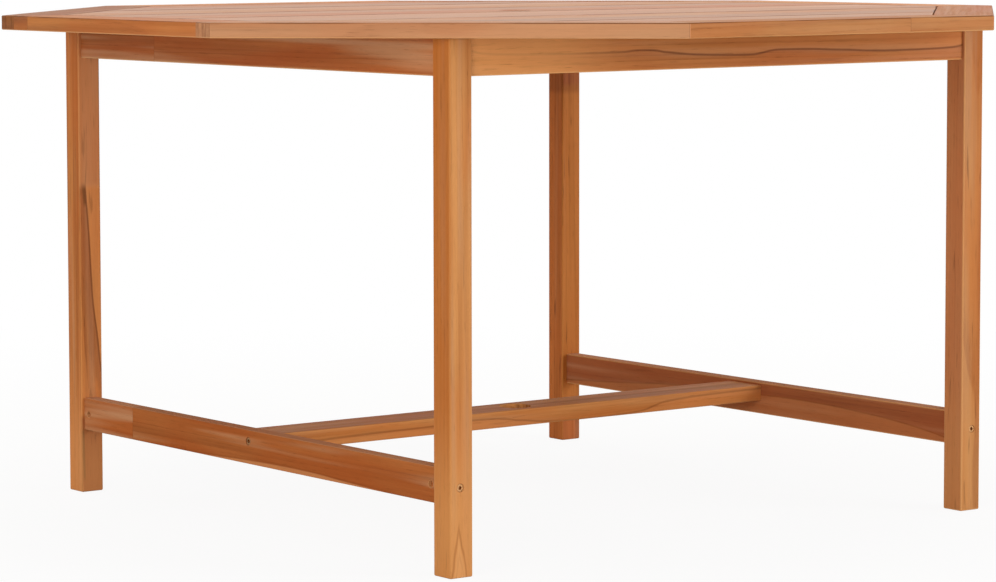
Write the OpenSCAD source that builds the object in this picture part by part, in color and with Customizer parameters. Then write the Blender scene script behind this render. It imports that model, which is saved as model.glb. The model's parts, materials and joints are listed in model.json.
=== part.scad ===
// Octagonal garden table in solid teak, in millimetres.
// Z points up and the origin is on the floor under the middle of the table.
// X runs along the planks of the top. The front is the -Y side.

/* [Table top] */
// Height of the top face above the floor
table_h = 750; // [700:1:780]
// Width of the top across two opposite sides
top_w = 1470; // [1400:1:1560]
// How far each corner of the top is cut back along its side
corner_cut = 456; // [430:1:490]
// Thickness of the boards of the top
board_t = 21; // [18:1:28]
// Width of the eight frame rails around the top
rail_w = 85; // [75:1:100]
// Open gap between two planks
plank_gap = 2.5; // [1.5:0.1:4]
// Open gap between the plank ends and the frame rails
end_gap = 1.5; // [0.5:0.1:3]
// Thickness of the tongue around the planks
tongue_t = 8; // [6:0.5:9]
// How far the tongue reaches into the frame rails
tongue_len = 10; // [8:0.5:14]
// Diameter of the parasol hole
parasol_d = 48; // [38:1:54]

/* [Legs and aprons] */
// Side of a square leg
leg_size = 38; // [36:1:50]
// How far a leg stands in from the cut corner side of the top
leg_inset = 14; // [8:1:40]
// Height of the aprons
apron_h = 52; // [48:1:70]
// Thickness of the aprons
apron_t = 22; // [18:1:25]
// How far the apron faces lie in from the leg faces
apron_inset = 5; // [2:0.5:8]
// Length of a corner block along each apron
block_len = 60; // [50:1:80]
// Height of the apron edge below the corner blocks
block_rise = 8; // [3:1:12]
// Width of the flat that is cut on a leg for its corner block, along a leg face
leg_seat = 12; // [10:1:14]

/* [Stretchers] */
// Height of the underside of the end stretchers above the floor
end_z = 98; // [80:1:140]
// Height of the end stretchers
end_h = 50; // [44:1:60]
// Thickness of the end stretchers
end_t = 24; // [20:1:27]
// How far the end stretcher faces lie in from the leg faces
end_inset = 5; // [2:0.5:8]
// Width of the flat centre stretcher
centre_w = 76; // [68:1:100]
// Thickness of the centre stretcher
centre_t = 25; // [20:1:32]
// How far the centre stretcher lies below the top edge of the end stretchers
centre_drop = 4; // [1:1:9]

/* [Battens under the top] */
// Distance of each batten from the middle of the table
batten_x = 165; // [120:1:220]
// Width of the battens
batten_w = 45; // [36:1:60]
// Height of the battens and the ledgers
batten_h = 22; // [18:1:28]
// Thickness of the ledgers along the left and right aprons
ledger_t = 22; // [18:1:28]
// Depth of the pockets in the aprons that hold the batten ends
pocket_depth = 6; // [4:1:9]

/* [Fasteners] */
// Thread diameter of the stretcher bolts
bolt_d = 6; // [5:0.5:7]
// Head diameter of the stretcher bolts
bolt_head_d = 10; // [9:0.5:12]
// Head height of the stretcher bolts
bolt_head_h = 6; // [5:0.5:6.5]
// Depth of the recess that takes a bolt head
recess_depth = 7; // [6.5:0.5:9]
// Diameter of the barrel nuts
nut_d = 10; // [9:0.5:12]
// Length of the barrel nuts
nut_len = 14; // [12:0.5:16]
// Distance from a leg to the barrel nut in an end stretcher
nut_back = 13; // [11:1:20]
// Distance from an end stretcher to the barrel nut in the centre stretcher
centre_nut_back = 27; // [20:1:40]
// Diameter of the dowels
dowel_d = 8; // [6:0.5:9]
// Length of the dowels
dowel_len = 30; // [24:1:36]
// Thread diameter of the hanger bolts that hold the legs
hanger_d = 8; // [6:0.5:8.5]
// How deep a hanger bolt goes into its leg
hanger_bite = 26; // [20:1:30]
// Outer diameter of the washers
washer_d = 20; // [17:0.5:24]
// Thickness of the washers
washer_t = 1.6; // [1:0.1:2.5]
// Width of the hexagon nuts across two flats
hex_w = 13; // [11:0.5:15]
// Height of the hexagon nuts
hex_h = 6.5; // [5:0.5:8]
// Shank diameter of the wood screws
screw_d = 4; // [3:0.25:5]
// Head diameter of the wood screws
screw_head_d = 8; // [7:0.25:9.5]
// How deep the wood screws go into the second piece
screw_bite = 13; // [10:0.5:14]

/* [Edges and clearances] */
// Width of the broken edges of the wood
arris = 1.5; // [0.5:0.1:2.5]
// Width of the broken edges of the planks
plank_arris = 1; // [0.4:0.1:1.6]
// Space around a tongue in its groove
groove_gap = 0.4; // [0.2:0.1:0.8]
// Space around a bolt in its hole
bolt_gap = 0.3; // [0.2:0.1:0.5]
// Space around a dowel or a screw in its hole
tight_gap = 0.1; // [0.05:0.05:0.2]
// Space between a corner block and the flat on its leg
seat_gap = 0.3; // [0.2:0.1:0.8]
// Space between the ends of a ledger and the corner blocks
ledger_gap = 2.5; // [1:0.5:6]

/* [Hidden] */
LEGS = ["leg_front_left", "leg_front_right", "leg_back_left", "leg_back_right"];
BLOCKS = ["corner_block_front_left", "corner_block_front_right",
          "corner_block_back_left", "corner_block_back_right"];
CORNER_RAILS = ["corner_rail_front_left", "corner_rail_front_right",
                "corner_rail_back_left", "corner_rail_back_right"];
PLANKS = ["plank_1", "plank_2", "plank_3", "plank_4", "plank_5", "centre_plank",
          "plank_7", "plank_8", "plank_9", "plank_10", "plank_11"];
SINGLES = ["apron_front", "apron_back", "apron_left", "apron_right",
           "end_stretcher_left", "end_stretcher_right", "centre_stretcher",
           "rail_front", "rail_back", "rail_left", "rail_right",
           "batten_left", "batten_right", "ledger_left", "ledger_right",
           "frame_dowels", "stretcher_dowels", "stretcher_bolts", "barrel_nuts",
           "hanger_bolts", "washers", "hex_nuts",
           "corner_block_screws", "ledger_screws", "plank_screws"];
$fn = 48;

// Signs of X and Y at the four corners, in the order of the corner names
CORNERS = [[-1, -1], [1, -1], [-1, 1], [1, 1]];

// Heights
under = table_h - board_t;
apron_z = under - apron_h;
block_z = apron_z + block_rise;
block_h = under - block_z;
tongue_z = under + (board_t - tongue_t) / 2;

// Plan of the top
top_half = top_w / 2;
side_half = top_half - corner_cut;
cut_dist = (2 * top_half - corner_cut) / sqrt(2);
plank_span = 2 * (top_half - rail_w - end_gap);
plank_count = len(PLANKS);
plank_pitch = (plank_span + plank_gap) / plank_count;
rail_mitre = rail_w * (sqrt(2) - 1);

// Plan of the base
leg_out = (cut_dist - leg_inset) / sqrt(2);
leg_in = leg_out - leg_size;
apron_in = leg_out - apron_inset - apron_t;
end_in = leg_out - end_inset - end_t;
end_x = leg_out - end_inset - end_t / 2;
end_mid = end_z + end_h / 2;
centre_z = end_z + end_h - centre_drop - centre_t;
centre_mid = centre_z + centre_t / 2;

// Distances along the diagonal of a corner, from the outer edge of the leg
seat_t = (2 * leg_size - leg_seat) / sqrt(2);
block_seat_t = seat_t + seat_gap;
block_back = leg_size + block_len;
block_tip = 5;
block_back_t = (block_back + apron_inset + apron_t + block_tip) / sqrt(2);
hanger_z = block_z + block_h / 2;
hanger_past = 3;

// Screws in a corner block, from the outer edge of the leg
flank_end = 23;
flank_wood = 15;
flank_spread = 11;
flank_at = block_back - flank_end;
flank_seat = apron_inset + apron_t + flank_wood;

// Wood screws
screw_cone = (screw_head_d - screw_d) / 2;
screw_tip = screw_d;
drive_w = 3.2;
drive_depth = 1.6;
batten_screw_len = batten_h + screw_bite;
ledger_screw_len = ledger_t + screw_bite;
flank_screw_len = flank_wood + screw_bite;

// Half the length of a ledger
ledger_half = leg_out - block_back - ledger_gap;

// Dowels and bolts
dowel_leg = 12;
dowel_rise = 15;
dowel_edge = 13;
dowel_side = centre_w / 2 - dowel_edge;
mitre_turn = 157.5;
bolt_past = 1;
bolt_len = leg_size - recess_depth + nut_back + nut_d / 2 + bolt_past;
centre_bolt_len = end_t - recess_depth + centre_nut_back + nut_d / 2 + bolt_past;
bolt_key_w = 5;
bolt_key_depth = 3;
slot_w = 1.4;
slot_depth = 1.2;

// How far cuts run past the faces they open, and a length beyond the whole table
over = 1;
reach = 2000;

// Colours of the wood and the metal
TOP_WOOD = [0.76, 0.56, 0.42];
RAIL_WOOD = [0.72, 0.48, 0.30];
LEG_WOOD = [0.68, 0.42, 0.22];
APRON_WOOD = [0.58, 0.33, 0.18];
INNER_WOOD = [0.70, 0.50, 0.32];
DOWEL_WOOD = [0.80, 0.66, 0.45];
STEEL = [0.72, 0.72, 0.70];

// Outline of the top, moved in by d from every side
function octagon_points(d) =
    let (h = top_half - d, s = side_half - d * (sqrt(2) - 1))
    [[h, -s], [h, s], [s, h], [-s, h], [-h, s], [-h, -s], [-s, -h], [s, -h]];

// Rectangle w by h about the origin with its corners cut by c
function cut_corners(w, h, c) =
    [[w / 2 - c, -h / 2], [w / 2, -h / 2 + c], [w / 2, h / 2 - c], [w / 2 - c, h / 2],
     [-w / 2 + c, h / 2], [-w / 2, h / 2 - c], [-w / 2, -h / 2 + c], [-w / 2 + c, -h / 2]];

// Y of the lower edge of plank i, counted from the front
function plank_y(i) = -plank_span / 2 + i * plank_pitch;

// Middles of the planks, in Y
function plank_mid(i) = plank_y(i) + (plank_pitch - plank_gap) / 2;

// Places its children in one corner; they are drawn for the front left corner,
// with the outer edge of the leg on the Z axis and the table towards +X and +Y
module corner(c) {
    mirror([c[0] > 0 ? 1 : 0, 0, 0])
        mirror([0, c[1] > 0 ? 1 : 0, 0])
            translate([-leg_out, -leg_out, 0])
                children();
}

// Repeats its children on the left and on the right
module left_and_right() {
    children();
    mirror([1, 0, 0]) children();
}

// Repeats its children at the front and at the back
module front_and_back() {
    children();
    mirror([0, 1, 0]) children();
}

// Beam along X about the origin, w wide in Y and h high in Z
module beam_x(l, w, h, c) {
    rotate([90, 0, 90])
        linear_extrude(l, center = true)
            polygon(cut_corners(w, h, c));
}

// Beam along Y about the origin, w wide in X and h high in Z
module beam_y(l, w, h, c) {
    rotate([90, 0, 0])
        linear_extrude(l, center = true)
            polygon(cut_corners(w, h, c));
}

// Turns its children so that +Z points along the diagonal into the table
module along_diagonal(t, z) {
    translate([t / sqrt(2), t / sqrt(2), z])
        rotate([0, 90, 45])
            children();
}

// Wood screw with its head at the origin and its tip towards +Z
module wood_screw(l) {
    difference() {
        rotate_extrude()
            polygon([[0, 0], [screw_head_d / 2, 0], [screw_d / 2, screw_cone],
                     [screw_d / 2, l - screw_tip], [0, l]]);
        translate([0, 0, -over])
            cylinder(h = drive_depth + over, d = drive_w / cos(30), $fn = 6);
    }
}

// Hole for a wood screw in the piece under its head
module screw_clearance(l) {
    r = screw_d / 2 + bolt_gap;
    cylinder(h = screw_cone, r1 = screw_head_d / 2 + tight_gap, r2 = screw_d / 2 + tight_gap);
    translate([0, 0, -over]) cylinder(h = over, r = screw_head_d / 2 + tight_gap);
    cylinder(h = l, r = r);
}

// Hole for the shank of a wood screw in the piece that it holds
module screw_pilot(l) {
    cylinder(h = l + tight_gap, r = screw_d / 2 + tight_gap);
}

// Places on the flanks of a corner block that take a screw into each apron
module at_flank_screws(side) {
    for (dz = [-flank_spread, flank_spread])
        if (side == "front")
            translate([flank_at, flank_seat, hanger_z + dz]) rotate([90, 0, 0]) children();
        else
            translate([flank_seat, flank_at, hanger_z + dz]) rotate([0, -90, 0]) children();
}

// Places on the left ledger that take a screw into the apron, under the gaps of the planks
module at_ledger_screws() {
    for (s = [-1, 1], k = [1, 5])
        translate([-apron_in + ledger_t, s * k * plank_pitch / 2, under - batten_h / 2])
            rotate([0, -90, 0])
                children();
}

// Places along the left batten that take a screw up into a plank
module at_batten_screws() {
    for (i = [0 : plank_count - 1], s = [-1, 1]) {
        y = plank_mid(i) + s * plank_pitch / 4;
        if (abs(y) < apron_in - screw_head_d)
            translate([-batten_x, y, under - batten_h])
                children();
    }
}

// Places along the left ledger that take a screw up into a plank
module at_ledger_up_screws() {
    for (i = [0 : plank_count - 1]) {
        y = plank_mid(i);
        if (abs(y) < ledger_half - screw_head_d)
            translate([-apron_in + ledger_t / 2, y, under - batten_h])
                children();
    }
}

// Places of the dowels across the joints of the front left corner rail
module at_frame_dowels() {
    for (k = [1, 2]) {
        // joint with the left rail, square to it
        translate([-top_half + k * rail_w / 3, -side_half + rail_mitre, under + board_t / 2])
            rotate([90, 0, 0])
                children();
        // mitred joint with the front rail
        translate([-side_half + k * rail_mitre / 3, -top_half + k * rail_w / 3, under + board_t / 2])
            rotate([0, 90, mitre_turn])
                children();
    }
}

// All dowel holes of the frame
module frame_dowel_holes() {
    left_and_right()
        front_and_back()
            at_frame_dowels()
                cylinder(h = dowel_len + 2 * tight_gap, d = dowel_d + 2 * tight_gap, center = true);
}

// Places of the dowels between the left end stretcher and the front left leg
module at_end_dowels() {
    for (s = [-1, 1])
        translate([-end_x, -leg_in - dowel_leg, end_mid + s * dowel_rise])
            rotate([-90, 0, 0])
                children();
}

// Places of the dowels between the left end stretcher and the centre stretcher
module at_centre_dowels() {
    for (s = [-1, 1])
        translate([-end_in - dowel_leg, s * dowel_side, centre_mid])
            rotate([0, 90, 0])
                children();
}

// Head seat of the bolt through the front left leg, with the bolt towards +Z
module at_leg_bolt() {
    translate([-end_x, -leg_out + recess_depth, end_mid])
        rotate([-90, 0, 0])
            children();
}

// Head seat of the bolt through the left end stretcher
module at_centre_bolt() {
    translate([-leg_out + end_inset + recess_depth, 0, centre_mid])
        rotate([0, 90, 0])
            children();
}

// Hole for a stretcher bolt and the recess of its head
module bolt_hole(l) {
    cylinder(h = l + bolt_gap, d = bolt_d + 2 * bolt_gap);
    translate([0, 0, -reach])
        cylinder(h = reach, d = bolt_head_d + 2 * bolt_gap);
}

// Middle of the barrel nut in the left end stretcher, with the slot towards +Z
module at_end_nut() {
    translate([-end_x, -leg_in + nut_back, end_mid])
        rotate([0, -90, 0])
            children();
}

// Middle of the barrel nut in the left end of the centre stretcher
module at_centre_nut() {
    translate([-end_in + centre_nut_back, 0, centre_mid])
        rotate([180, 0, 0])
            children();
}

// Blind hole for a barrel nut, open towards +Z
module nut_hole() {
    translate([0, 0, -nut_len / 2])
        cylinder(h = reach, d = nut_d + 2 * tight_gap);
}

// Slab between two heights with the outline of the top moved in by d
module octagon_slab(d, z, h) {
    translate([0, 0, z])
        linear_extrude(h)
            polygon(octagon_points(d));
}

// Groove along the inner edges of the frame rails that takes the tongues
module frame_groove() {
    octagon_slab(rail_w - tongue_len - groove_gap, tongue_z, tongue_t + groove_gap);
}

// Bars that break the outer edge of one side of the top; side 0 is the front
module broken_edges(side) {
    d = side % 2 == 0 ? top_half : cut_dist;
    for (z = [under, table_h])
        rotate([0, 0, side * 45])
            translate([0, -d, z])
                rotate([45, 0, 0])
                    cube([top_w, arris * sqrt(2), arris * sqrt(2)], center = true);
}

// Frame rail with a given outline and the sides whose edges it touches
module frame_rail(outline, sides) {
    color(RAIL_WOOD)
        difference() {
            translate([0, 0, under]) linear_extrude(board_t) polygon(outline);
            frame_groove();
            frame_dowel_holes();
            for (s = sides) broken_edges(s);
        }
}

// Front rail, mitred at both ends
module rail_front() {
    m = rail_mitre;
    frame_rail([[-side_half, -top_half], [side_half, -top_half],
                [side_half - m, -top_half + rail_w], [-side_half + m, -top_half + rail_w]], [0]);
}

// Left rail, square at both ends
module rail_left() {
    m = rail_mitre;
    frame_rail([[-top_half, -side_half + m], [-top_half + rail_w, -side_half + m],
                [-top_half + rail_w, side_half - m], [-top_half, side_half - m]], [6]);
}

// Corner rail over the front left leg
module corner_rail() {
    m = rail_mitre;
    frame_rail([[-side_half, -top_half], [-side_half + m, -top_half + rail_w],
                [-top_half + rail_w, -side_half + m], [-top_half, -side_half + m],
                [-top_half, -side_half]], [6, 7]);
}

// Plank i of the top, counted from the front, with a tongue into the frame
module plank(i) {
    w = plank_pitch - plank_gap;
    first = i == 0 ? reach : 0;
    last = i == plank_count - 1 ? reach : 0;
    color(TOP_WOOD)
        difference() {
            union() {
                intersection() {
                    octagon_slab(rail_w + end_gap, under, board_t);
                    translate([0, plank_mid(i), under + board_t / 2])
                        beam_x(top_w, w, board_t, plank_arris);
                }
                intersection() {
                    octagon_slab(rail_w - tongue_len, tongue_z, tongue_t);
                    translate([-top_half, plank_y(i) - first, under])
                        cube([top_w, w + first + last, board_t]);
                }
            }
            cylinder(h = reach, d = parasol_d);
            left_and_right() at_batten_screws() screw_pilot(batten_screw_len);
            left_and_right() at_ledger_up_screws() screw_pilot(batten_screw_len);
        }
}

// Leg of the front left corner, with the outer edge on the Z axis
module leg_shape() {
    s = leg_size;
    difference() {
        intersection() {
            translate([s / 2, s / 2, 0]) linear_extrude(under) polygon(cut_corners(s, s, arris));
            translate([s / 2, s / 2, under]) beam_x(s, s, 2 * under, arris);
            translate([s / 2, s / 2, under]) beam_y(s, s, 2 * under, arris);
        }
        // flat for the corner block
        along_diagonal(seat_t + s, block_z + block_h / 2)
            cube([block_h + 2 * block_rise, 2 * s, 2 * s], center = true);
        // hole for the hanger bolt
        along_diagonal(seat_t - hanger_bite - tight_gap, hanger_z)
            cylinder(h = reach, d = hanger_d + 2 * tight_gap);
        translate([leg_out, leg_out, 0]) {
            at_leg_bolt() bolt_hole(bolt_len);
            at_end_dowels() cylinder(h = dowel_len, d = dowel_d + 2 * tight_gap);
        }
    }
}

// Corner block of the front left corner
module corner_block_shape() {
    a = apron_inset + apron_t;
    seat = block_seat_t * sqrt(2);
    difference() {
        translate([0, 0, block_z])
            linear_extrude(block_h)
                polygon([[a, seat - a], [seat - a, a], [block_back, a], [block_back, a + block_tip],
                         [a + block_tip, block_back], [a, block_back]]);
        along_diagonal(0, hanger_z)
            cylinder(h = reach, d = hanger_d + 2 * bolt_gap);
        for (side = ["front", "left"])
            at_flank_screws(side) {
                screw_clearance(flank_seat);
                translate([0, 0, -reach]) cylinder(h = reach, d = screw_head_d + 4 * bolt_gap);
            }
    }
}

// Apron at the front, with the pockets for the battens
module apron_front() {
    color(APRON_WOOD)
        difference() {
            translate([0, -apron_in - apron_t / 2, apron_z + apron_h / 2])
                beam_x(2 * leg_in, apron_t, apron_h, arris);
            left_and_right() {
                translate([-batten_x - batten_w / 2 - tight_gap, -apron_in - pocket_depth,
                           under - batten_h])
                    cube([batten_w + 2 * tight_gap, apron_t, batten_h + arris]);
                translate([-leg_out, -leg_out, 0])
                    at_flank_screws("front") screw_pilot(flank_screw_len);
            }
        }
}

// Apron at the left, with the holes for the ledger screws
module apron_left() {
    color(APRON_WOOD)
        difference() {
            translate([-apron_in - apron_t / 2, 0, apron_z + apron_h / 2])
                beam_y(2 * leg_in, apron_t, apron_h, arris);
            front_and_back()
                translate([-leg_out, -leg_out, 0])
                    at_flank_screws("left") screw_pilot(flank_screw_len);
            at_ledger_screws() screw_pilot(ledger_screw_len);
        }
}

// Upright stretcher between the two left legs
module end_stretcher_left() {
    color(LEG_WOOD)
        difference() {
            translate([-end_x, 0, end_mid]) beam_y(2 * leg_in, end_t, end_h, arris);
            front_and_back() {
                at_leg_bolt() cylinder(h = bolt_len + bolt_gap, d = bolt_d + 2 * bolt_gap);
                at_end_dowels() cylinder(h = dowel_len + tight_gap, d = dowel_d + 2 * tight_gap);
                at_end_nut() nut_hole();
            }
            at_centre_bolt() bolt_hole(centre_bolt_len);
            at_centre_dowels() cylinder(h = dowel_len, d = dowel_d + 2 * tight_gap);
        }
}

// Flat stretcher between the end stretchers, with the parasol hole
module centre_stretcher() {
    color(LEG_WOOD)
        difference() {
            translate([0, 0, centre_mid]) beam_x(2 * end_in, centre_w, centre_t, arris);
            cylinder(h = reach, d = parasol_d);
            left_and_right() {
                at_centre_bolt() cylinder(h = centre_bolt_len + bolt_gap, d = bolt_d + 2 * bolt_gap);
                at_centre_dowels() cylinder(h = dowel_len + tight_gap, d = dowel_d + 2 * tight_gap);
                at_centre_nut() nut_hole();
            }
        }
}

// Left batten under the planks, let into the front and back aprons
module batten_left() {
    l = 2 * (apron_in + pocket_depth - tight_gap);
    color(INNER_WOOD)
        difference() {
            translate([-batten_x, 0, under - batten_h / 2]) beam_y(l, batten_w, batten_h, arris);
            at_batten_screws() screw_clearance(batten_h + over);
        }
}

// Left ledger along the inside of the left apron
module ledger_left() {
    color(INNER_WOOD)
        difference() {
            translate([-apron_in + ledger_t / 2, 0, under - batten_h / 2])
                beam_y(2 * ledger_half, ledger_t, batten_h, arris);
            at_ledger_screws() screw_clearance(ledger_t + over);
            at_ledger_up_screws() screw_clearance(batten_h + over);
        }
}

// Dowels across the joints of the frame around the top
module frame_dowels() {
    color(DOWEL_WOOD)
        left_and_right() front_and_back() at_frame_dowels()
            cylinder(h = dowel_len, d = dowel_d, center = true);
}

// Dowels at the ends of the stretchers
module stretcher_dowels() {
    color(DOWEL_WOOD) {
        left_and_right() front_and_back() at_end_dowels()
            translate([0, 0, tight_gap]) cylinder(h = dowel_len - tight_gap, d = dowel_d);
        left_and_right() at_centre_dowels()
            translate([0, 0, tight_gap]) cylinder(h = dowel_len - tight_gap, d = dowel_d);
    }
}

// Bolt with a round socket head, its head seat at the origin and its end towards +Z
module socket_bolt(l) {
    cylinder(h = l, d = bolt_d);
    difference() {
        translate([0, 0, -bolt_head_h]) cylinder(h = bolt_head_h, d = bolt_head_d);
        translate([0, 0, -bolt_head_h - over])
            cylinder(h = bolt_key_depth + over, d = bolt_key_w / cos(30), $fn = 6);
    }
}

// Bolts that pull the stretchers together
module stretcher_bolts() {
    color(STEEL) {
        left_and_right() front_and_back() at_leg_bolt() socket_bolt(bolt_len);
        left_and_right() at_centre_bolt() socket_bolt(centre_bolt_len);
    }
}

// Barrel nut about the origin, with its cross hole along the given direction
module barrel_nut(cross) {
    difference() {
        cylinder(h = nut_len - 2 * tight_gap, d = nut_d, center = true);
        rotate(cross) cylinder(h = 2 * nut_d, d = bolt_d + 2 * tight_gap, center = true);
        translate([-slot_w / 2, -nut_d, nut_len / 2 - tight_gap - slot_depth])
            cube([slot_w, 2 * nut_d, slot_depth + over]);
    }
}

// Barrel nuts that the stretcher bolts screw into
module barrel_nuts() {
    color(STEEL) {
        left_and_right() front_and_back() at_end_nut() barrel_nut([90, 0, 0]);
        left_and_right() at_centre_nut() barrel_nut([0, 90, 0]);
    }
}

// Threaded rods that run from the legs through the corner blocks
module hanger_bolts() {
    l = hanger_bite + block_back_t - seat_t + washer_t + hex_h + hanger_past;
    color(STEEL)
        for (c = CORNERS)
            corner(c) along_diagonal(seat_t - hanger_bite, hanger_z) cylinder(h = l, d = hanger_d);
}

// Washers on the hanger bolts
module washers() {
    color(STEEL)
        for (c = CORNERS)
            corner(c) along_diagonal(block_back_t, hanger_z)
                difference() {
                    cylinder(h = washer_t, d = washer_d);
                    translate([0, 0, -over])
                        cylinder(h = washer_t + 2 * over, d = hanger_d + 2 * bolt_gap);
                }
}

// Hexagon nuts on the hanger bolts
module hex_nuts() {
    color(STEEL)
        for (c = CORNERS)
            corner(c) along_diagonal(block_back_t + washer_t, hanger_z)
                difference() {
                    cylinder(h = hex_h, d = hex_w / cos(30), $fn = 6);
                    translate([0, 0, -over])
                        cylinder(h = hex_h + 2 * over, d = hanger_d + 2 * tight_gap);
                }
}

// Screws from the corner blocks into the aprons
module corner_block_screws() {
    color(STEEL)
        for (c = CORNERS, side = ["front", "left"])
            corner(c) at_flank_screws(side) wood_screw(flank_screw_len);
}

// Screws from the ledgers into the left and right aprons
module ledger_screws() {
    color(STEEL) left_and_right() at_ledger_screws() wood_screw(ledger_screw_len);
}

// Screws from the battens and ledgers up into the planks
module plank_screws() {
    color(STEEL)
        left_and_right() {
            at_batten_screws() wood_screw(batten_screw_len);
            at_ledger_up_screws() wood_screw(batten_screw_len);
        }
}

for (k = [0 : 3]) {
    color(LEG_WOOD) corner(CORNERS[k]) leg_shape();
    color(INNER_WOOD) corner(CORNERS[k]) corner_block_shape();
}
apron_front();
mirror([0, 1, 0]) apron_front();  // apron_back
apron_left();
mirror([1, 0, 0]) apron_left();  // apron_right
end_stretcher_left();
mirror([1, 0, 0]) end_stretcher_left();  // end_stretcher_right
centre_stretcher();
rail_front();
mirror([0, 1, 0]) rail_front();  // rail_back
rail_left();
mirror([1, 0, 0]) rail_left();  // rail_right
corner_rail();  // corner_rail_front_left
mirror([1, 0, 0]) corner_rail();  // corner_rail_front_right
mirror([0, 1, 0]) corner_rail();  // corner_rail_back_left
mirror([1, 0, 0]) mirror([0, 1, 0]) corner_rail();  // corner_rail_back_right
for (i = [0 : plank_count - 1])
    plank(i);
batten_left();
mirror([1, 0, 0]) batten_left();  // batten_right
ledger_left();
mirror([1, 0, 0]) ledger_left();  // ledger_right
frame_dowels();
stretcher_dowels();
stretcher_bolts();
barrel_nuts();
hanger_bolts();
washers();
hex_nuts();
corner_block_screws();
ledger_screws();
plank_screws();
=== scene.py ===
"""Octagonal garden table in solid teak, with every board rounded, grained and lit for a studio picture.

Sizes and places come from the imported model. Lengths are in metres, Z points up, X runs along
the planks of the top and the front of the table is its -Y side.
"""
import json
import logging
import math
from dataclasses import dataclass, field
from enum import Enum

import bmesh
import bpy
import numpy as np
from mathutils import Euler, Matrix, Vector


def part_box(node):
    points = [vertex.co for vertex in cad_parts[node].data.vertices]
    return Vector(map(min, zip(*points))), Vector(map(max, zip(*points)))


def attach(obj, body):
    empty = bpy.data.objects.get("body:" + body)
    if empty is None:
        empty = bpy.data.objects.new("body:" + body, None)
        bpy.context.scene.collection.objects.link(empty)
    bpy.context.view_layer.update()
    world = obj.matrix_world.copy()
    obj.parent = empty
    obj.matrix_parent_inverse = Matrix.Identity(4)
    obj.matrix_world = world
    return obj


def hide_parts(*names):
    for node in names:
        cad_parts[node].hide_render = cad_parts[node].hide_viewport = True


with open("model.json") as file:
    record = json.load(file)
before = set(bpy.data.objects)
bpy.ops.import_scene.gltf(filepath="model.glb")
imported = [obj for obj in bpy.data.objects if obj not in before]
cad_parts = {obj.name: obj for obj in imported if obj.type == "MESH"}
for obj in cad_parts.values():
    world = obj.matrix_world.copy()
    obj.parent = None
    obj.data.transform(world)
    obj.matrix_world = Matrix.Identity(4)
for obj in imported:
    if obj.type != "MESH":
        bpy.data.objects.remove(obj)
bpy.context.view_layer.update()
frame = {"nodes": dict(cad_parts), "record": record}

LOG = logging.getLogger("garden_table")

Triple = tuple[float, float, float]
Pair = tuple[float, float]

MM = 0.001
ROOT_TWO = math.sqrt(2)

# Distance that keeps two rings of points apart, and distance under which points are one.
HAIR = 0.05 * MM
MERGE_DISTANCE = 0.001 * MM

# Corners of the table, each with the way that it lies in X and Y.
CORNERS = {"front_left": (-1, -1), "front_right": (1, -1), "back_left": (-1, 1), "back_right": (1, 1)}

# Rounded edges: the steps of a quarter round with the wear and painted highlight of each, and its
# radius on each sort of board. An edge is shaded smooth from SMOOTH_ARRIS on, and shows its full wear
# and painted highlight from FULL_WEAR_AND_LIGHT_ARRIS on.
ROUND_STEPS = 3
FACET_WEAR_AND_LIGHT = (0.6, 1.0, 0.6)
LEG_ARRIS = 2.2 * MM
BOARD_ARRIS = 2.0 * MM
RAIL_ARRIS = 1.6 * MM
PLANK_ARRIS = 1.8 * MM
JOINT_ARRIS = 0.15 * MM
SMOOTH_ARRIS = 0.5 * MM
FULL_WEAR_AND_LIGHT_ARRIS = 2.0 * MM

# Joints of the top: the planks' tongues, the frame's grooves, and how deep the odd and the even
# planks sit.
TONGUE_LENGTH = 10 * MM
TONGUE_HALF = 4 * MM
GROOVE_GAP = 0.4 * MM
PLANK_SINK = (0.36 * MM, 0.0)

# Holes: the sides of a round cutter, the share of Z from which its axis counts as upright, the
# rounding of the mouths, and a bolt's recess as radius and depth.
CUTTER_SIDES = 48
UPRIGHT_SHARE = 0.9
MOUTH_EASE = 1.0 * MM
NUT_EASE = 0.5 * MM
PARASOL_EASE = 1.5 * MM
BOLT_RECESS = (5.3 * MM, 7 * MM)

# Wear and painted light of upper edges and of holes: pale above 0 and dark below it. The rails' upper
# edge is darkened. The planks' is that of the odd and of the even ones: pale wear with a painted
# highlight, and painted shadow in the gaps between the planks. The bores get painted shade, and the
# parasol hole of the centre stretcher and the nut holes of the end stretchers get painted light.
RIM_EDGE_DARK = -1.5
PLANK_WEAR_AND_GAP_SHADOW = (0.8, -1.6)
BORE_SHADE = -0.5
POLE_WALL_LIGHT = 0.5
NUT_WALL_LIGHT = 6.0

# Figures of the wood: a span that takes in any board, the length over which a span fades in, the
# depths between which a figure on a leg's front or left face comes in, the distances from its line
# at which the dark starts and is full, and the soft edge of its tone. A joint's seam is such a line.
WHOLE_LENGTH = (-2.0, 2.0)
SPAN_FADE = 12 * MM
FRONT_SKIN = (-16.0 * MM, -18.5 * MM)
LEFT_SKIN = (16.0 * MM, 18.5 * MM)
LINE_HALF = (2.4 * MM, 0.6 * MM)
TONE_EDGE = 1.6 * MM
SEAM_HALF = (0.6 * MM, 0.2 * MM)

# Display colours of 0 to 255 that the wood is blended with.
VEIL_GREY = (192, 148, 112)
GLOW_PALE = (222, 158, 96)
CUT_END = (92, 42, 20)
# Pale of worn edges with their painted highlight, and dark of painted shade in holes and plank gaps and of
# the rails' darkened upper edge.
RUB_AND_HIGHLIGHT_PALE = (232, 178, 118)
EDGE_AND_HOLE_DARK = (108, 62, 34)
LINE_DARK = (104, 58, 30)
ARCH_PALE = (226, 166, 108)
ARCH_RIM = (152, 92, 46)


def box_of(node: str) -> tuple[np.ndarray, np.ndarray]:
    """Return the lowest and the highest corner of a CAD node."""
    low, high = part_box(node)
    return np.array(low), np.array(high)


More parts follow.
